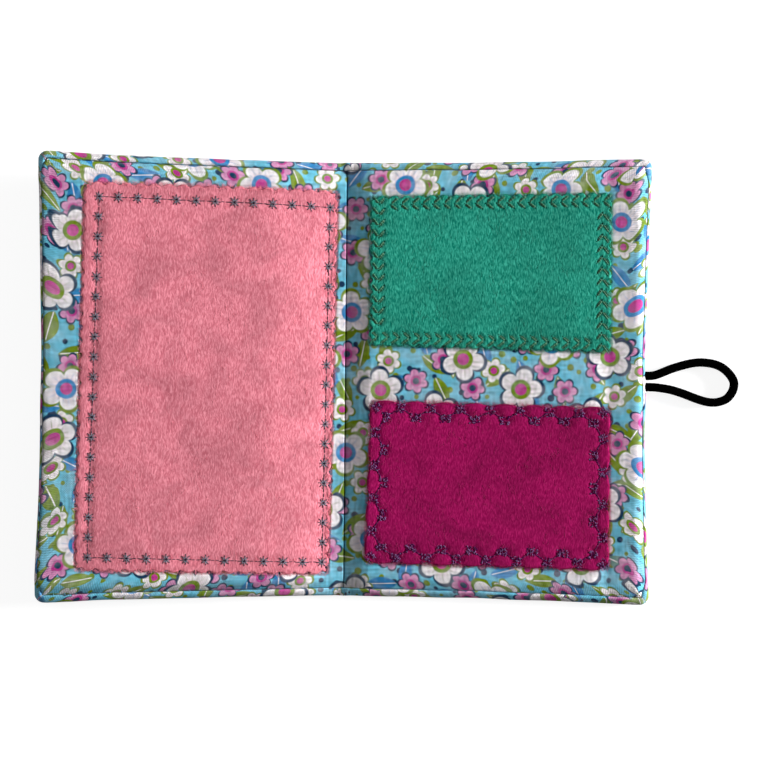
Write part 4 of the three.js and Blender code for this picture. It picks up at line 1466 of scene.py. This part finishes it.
class NEEDLEBOOK_OT_button(Maker, bpy.types.Operator):
    """The button on the outside of the front cover, and the thread that holds it"""
    bl_idname = "needle_book.button"
    bl_label = "Button"

    def execute(self, context):
        under = Matrix.Translation((-BUTTON_PLACE, 0, 0)) @ Matrix.Rotation(math.pi, 4, "X")
        thread = twisted("button_thread", tint("slate"))
        for bm, name, finish, slot, node in (
            (self.lathe(), "sewn_button", moulded(), "button_plastic", "button"),
            (self.shank(), "button_shank", thread, "slate_thread", "button_thread"),
        ):
            bm.transform(under)
            rider(bm, name, [finish], "front_cover", slot, node)
        return {"FINISHED"}

    @staticmethod
    def lathe():
        """A turned disc with a raised rim, a dished face and four holes."""
        radius = sizes().button
        low, high = 1.9, 3.9
        profile = [
            (2.6, low), (6.2, low), (6.75, 2.1), (7.0, 2.6), (7.0, high), (6.8, 4.4),
            (6.3, 4.68), (5.8, 4.66), (5.3, 4.4), (4.9, 4.05), (4.4, 3.92), (2.6, high),
        ]
        bm = bmesh.new()
        verts = [bm.verts.new((across * radius / 7, 0, level * MM)) for across, level in profile]
        edges = [bm.edges.new(pair) for pair in zip(verts, verts[1:])]
        bmesh.ops.spin(
            bm, geom=verts + edges, cent=(0, 0, 0), axis=(0, 0, 1), angle=math.tau, steps=64,
            use_merge=True,
        )
        bmesh.ops.remove_doubles(bm, verts=bm.verts, dist=0.001 * MM)
        walls = []
        for level in (low, high):
            flush = [v for v in bm.verts if abs(v.co.z - level * MM) < 1e-6]
            rings = [{v for v in flush if math.hypot(v.co.x, v.co.y) < 2.7 * MM}]
            for sx, sy in ((1, 1), (-1, 1), (-1, -1), (1, -1)):
                spot = (BUTTON_HOLE * sx * MM, BUTTON_HOLE * sy * MM, level * MM)
                made = bmesh.ops.create_circle(
                    bm, segments=16, radius=0.85 * MM, matrix=Matrix.Translation(spot),
                )
                rings.append(set(made["verts"]))
            edges = [e for ring in rings for e in bm.edges if ring.issuperset(e.verts)]
            bmesh.ops.triangle_fill(
                bm, edges=edges, use_beauty=True, use_dissolve=False, normal=(0, 0, 1),
            )
            walls.append(rings[1:])
        for one, two in zip(*walls):
            both = one | two
            open_edges = [e for e in bm.edges if len(e.link_faces) == 1]
            bmesh.ops.bridge_loops(bm, edges=[e for e in open_edges if both.issuperset(e.verts)])
        bmesh.ops.recalc_face_normals(bm, faces=bm.faces)
        return bm

    @staticmethod
    def shank():
        """Thread wound round the shank, strands through the four holes and two bundles across."""
        copies = Copies()
        wound = stitch_shape(0.22 * MM, 0.0)
        strand = stitch_shape(0.2 * MM, 0.0)
        bar = stitch_shape(0.22 * MM, 0.18 * MM)
        for wind in range(4):
            level = (0.5 + wind * 0.34) * MM
            turns = [step * math.pi / 6 for step in range(12)]
            ring = [(2 * MM * math.cos(turn), 2 * MM * math.sin(turn), level) for turn in turns]
            for one, two in zip(ring, ring[1:] + ring[:1]):
                copies.put(wound, between(Vector(one), Vector(two)))
        for sx in (-1, 1):
            for sy in (-1, 1):
                for dx, dy in ((0.2, 0.2), (-0.2, 0.2), (0.2, -0.2), (-0.2, -0.2)):
                    x, y = BUTTON_HOLE * sx + dx, BUTTON_HOLE * sy + dy
                    foot = Vector((x * MM, y * MM, 0.35 * MM))
                    copies.put(strand, between(foot, Vector((x * MM, (y + 0.001) * MM, 4.15 * MM))))
            for dy in (-0.3, 0.0, 0.3):
                start = Vector((-1.45 * MM, (BUTTON_HOLE * sx + dy) * MM, 4.2 * MM))
                copies.put(bar, between(start, Vector((1.45 * MM, start.y, start.z))))
        return copies.done()


class NEEDLEBOOK_OT_stage(Maker, bpy.types.Operator):
    """Pale floor, soft light from the right and a camera straight above"""
    bl_idname = "needle_book.stage"
    bl_label = "Stage"

    def execute(self, context):
        scene = context.scene
        scene.view_settings.view_transform = "Standard"
        self.floor()
        self.lamp(scene, "window", place=(2.884, 0.509, 0.649), size=0.75, power=262.0)
        self.lamp(scene, "overhead", place=(-0.2, 0.25, 0.5), size=0.45, power=0.5)
        self.surroundings(scene)
        data = bpy.data.cameras.new("above")
        data.sensor_width = 36.0
        data.lens = data.sensor_width / 2 / (VIEW_HALF / VIEW_DISTANCE)
        data.clip_start = 0.01
        camera = bpy.data.objects.new("above", data)
        camera.location = (13.1 * MM, -1.5 * MM, 456 * MM)
        camera.rotation_euler = (0.0, 0.0, math.radians(0.5))
        scene.collection.objects.link(camera)
        scene.camera = camera
        return {"FINISHED"}

    @staticmethod
    def floor():
        """A paper floor that looks white to the camera and still takes the object's shadow."""
        bm = bmesh.new()
        bmesh.ops.create_grid(bm, x_segments=2, y_segments=2, size=3.0)
        bmesh.ops.translate(bm, vec=(0, 0, -0.15 * MM), verts=bm.verts)
        paper = Finish("floor_paper")
        paper.tree.nodes.remove(paper.shader)
        matt = paper.add("ShaderNodeBsdfDiffuse", {"Color": (0.36, 0.36, 0.36, 1)})
        strength = paper.math("MULTIPLY", paper.seen_directly(), 0.86)
        glow = paper.add("ShaderNodeEmission", {"Strength": strength})
        both = paper.add("ShaderNodeAddShader", {0: matt.outputs[0], 1: glow.outputs[0]})
        paper.feed(paper.tree.nodes["Material Output"].inputs["Surface"], both.outputs[0])
        piece(bm, "floor", [paper.material])

    @staticmethod
    def surroundings(scene):
        """A white surround that sheds only a little light on the object."""
        scene.world = bpy.data.worlds.new("studio")
        scene.world.use_nodes = True
        sky = Nodes(scene.world.node_tree)
        background = sky.tree.nodes["Background"].inputs
        sky.feed(background["Color"], (1, 1, 1, 1))
        strength = sky.math("MULTIPLY_ADD", sky.seen_directly(), 0.85, 0.15)
        sky.feed(background["Strength"], strength)

    @staticmethod
    def lamp(scene, name, place, size, power):
        data = bpy.data.lights.new(name, "AREA")
        data.size = size
        data.energy = power
        lamp = bpy.data.objects.new(name, data)
        lamp.location = place
        lamp.rotation_euler = (-Vector(place)).to_track_quat("-Z", "Y").to_euler()
        scene.collection.objects.link(lamp)


OPERATORS = (
    NEEDLEBOOK_OT_stage,
    NEEDLEBOOK_OT_elastic,
    NEEDLEBOOK_OT_padding,
    NEEDLEBOOK_OT_outer_cloth,
    NEEDLEBOOK_OT_lining,
    NEEDLEBOOK_OT_seams,
    NEEDLEBOOK_OT_felts,
    NEEDLEBOOK_OT_borders,
    NEEDLEBOOK_OT_button,
)


class NEEDLEBOOK_PT_pieces(bpy.types.Panel):
    """Lists the pieces of the needle book with their sizes and colours"""
    bl_label = "Needle book"
    bl_idname = "NEEDLEBOOK_PT_pieces"
    bl_space_type = "VIEW_3D"
    bl_region_type = "UI"
    bl_category = "Needle book"

    def draw(self, context):
        for operator in OPERATORS:
            self.layout.operator(operator.bl_idname)
        for group in (context.scene.needle_book_sizes, context.scene.needle_book_colours):
            box = self.layout.box()
            for name in group.__annotations__:
                box.prop(group, name)


CLASSES = (NeedleBookSizes, NeedleBookColours, *OPERATORS, NEEDLEBOOK_PT_pieces)


def register():
    for each in CLASSES:
        bpy.utils.register_class(each)
    bpy.types.Scene.needle_book_sizes = PointerProperty(type=NeedleBookSizes)
    bpy.types.Scene.needle_book_colours = PointerProperty(type=NeedleBookColours)
    bpy.types.Scene.needle_book_print = PointerProperty(type=bpy.types.Material)


def unregister():
    del bpy.types.Scene.needle_book_print
    del bpy.types.Scene.needle_book_colours
    del bpy.types.Scene.needle_book_sizes
    for each in reversed(CLASSES):
        bpy.utils.unregister_class(each)


def main():
    register()
    bpy.context.scene.needle_book_print = printed_cotton()
    for operator in OPERATORS:
        getattr(bpy.ops.needle_book, operator.bl_idname.split(".")[1])()


if __name__ == "__main__":
    main()
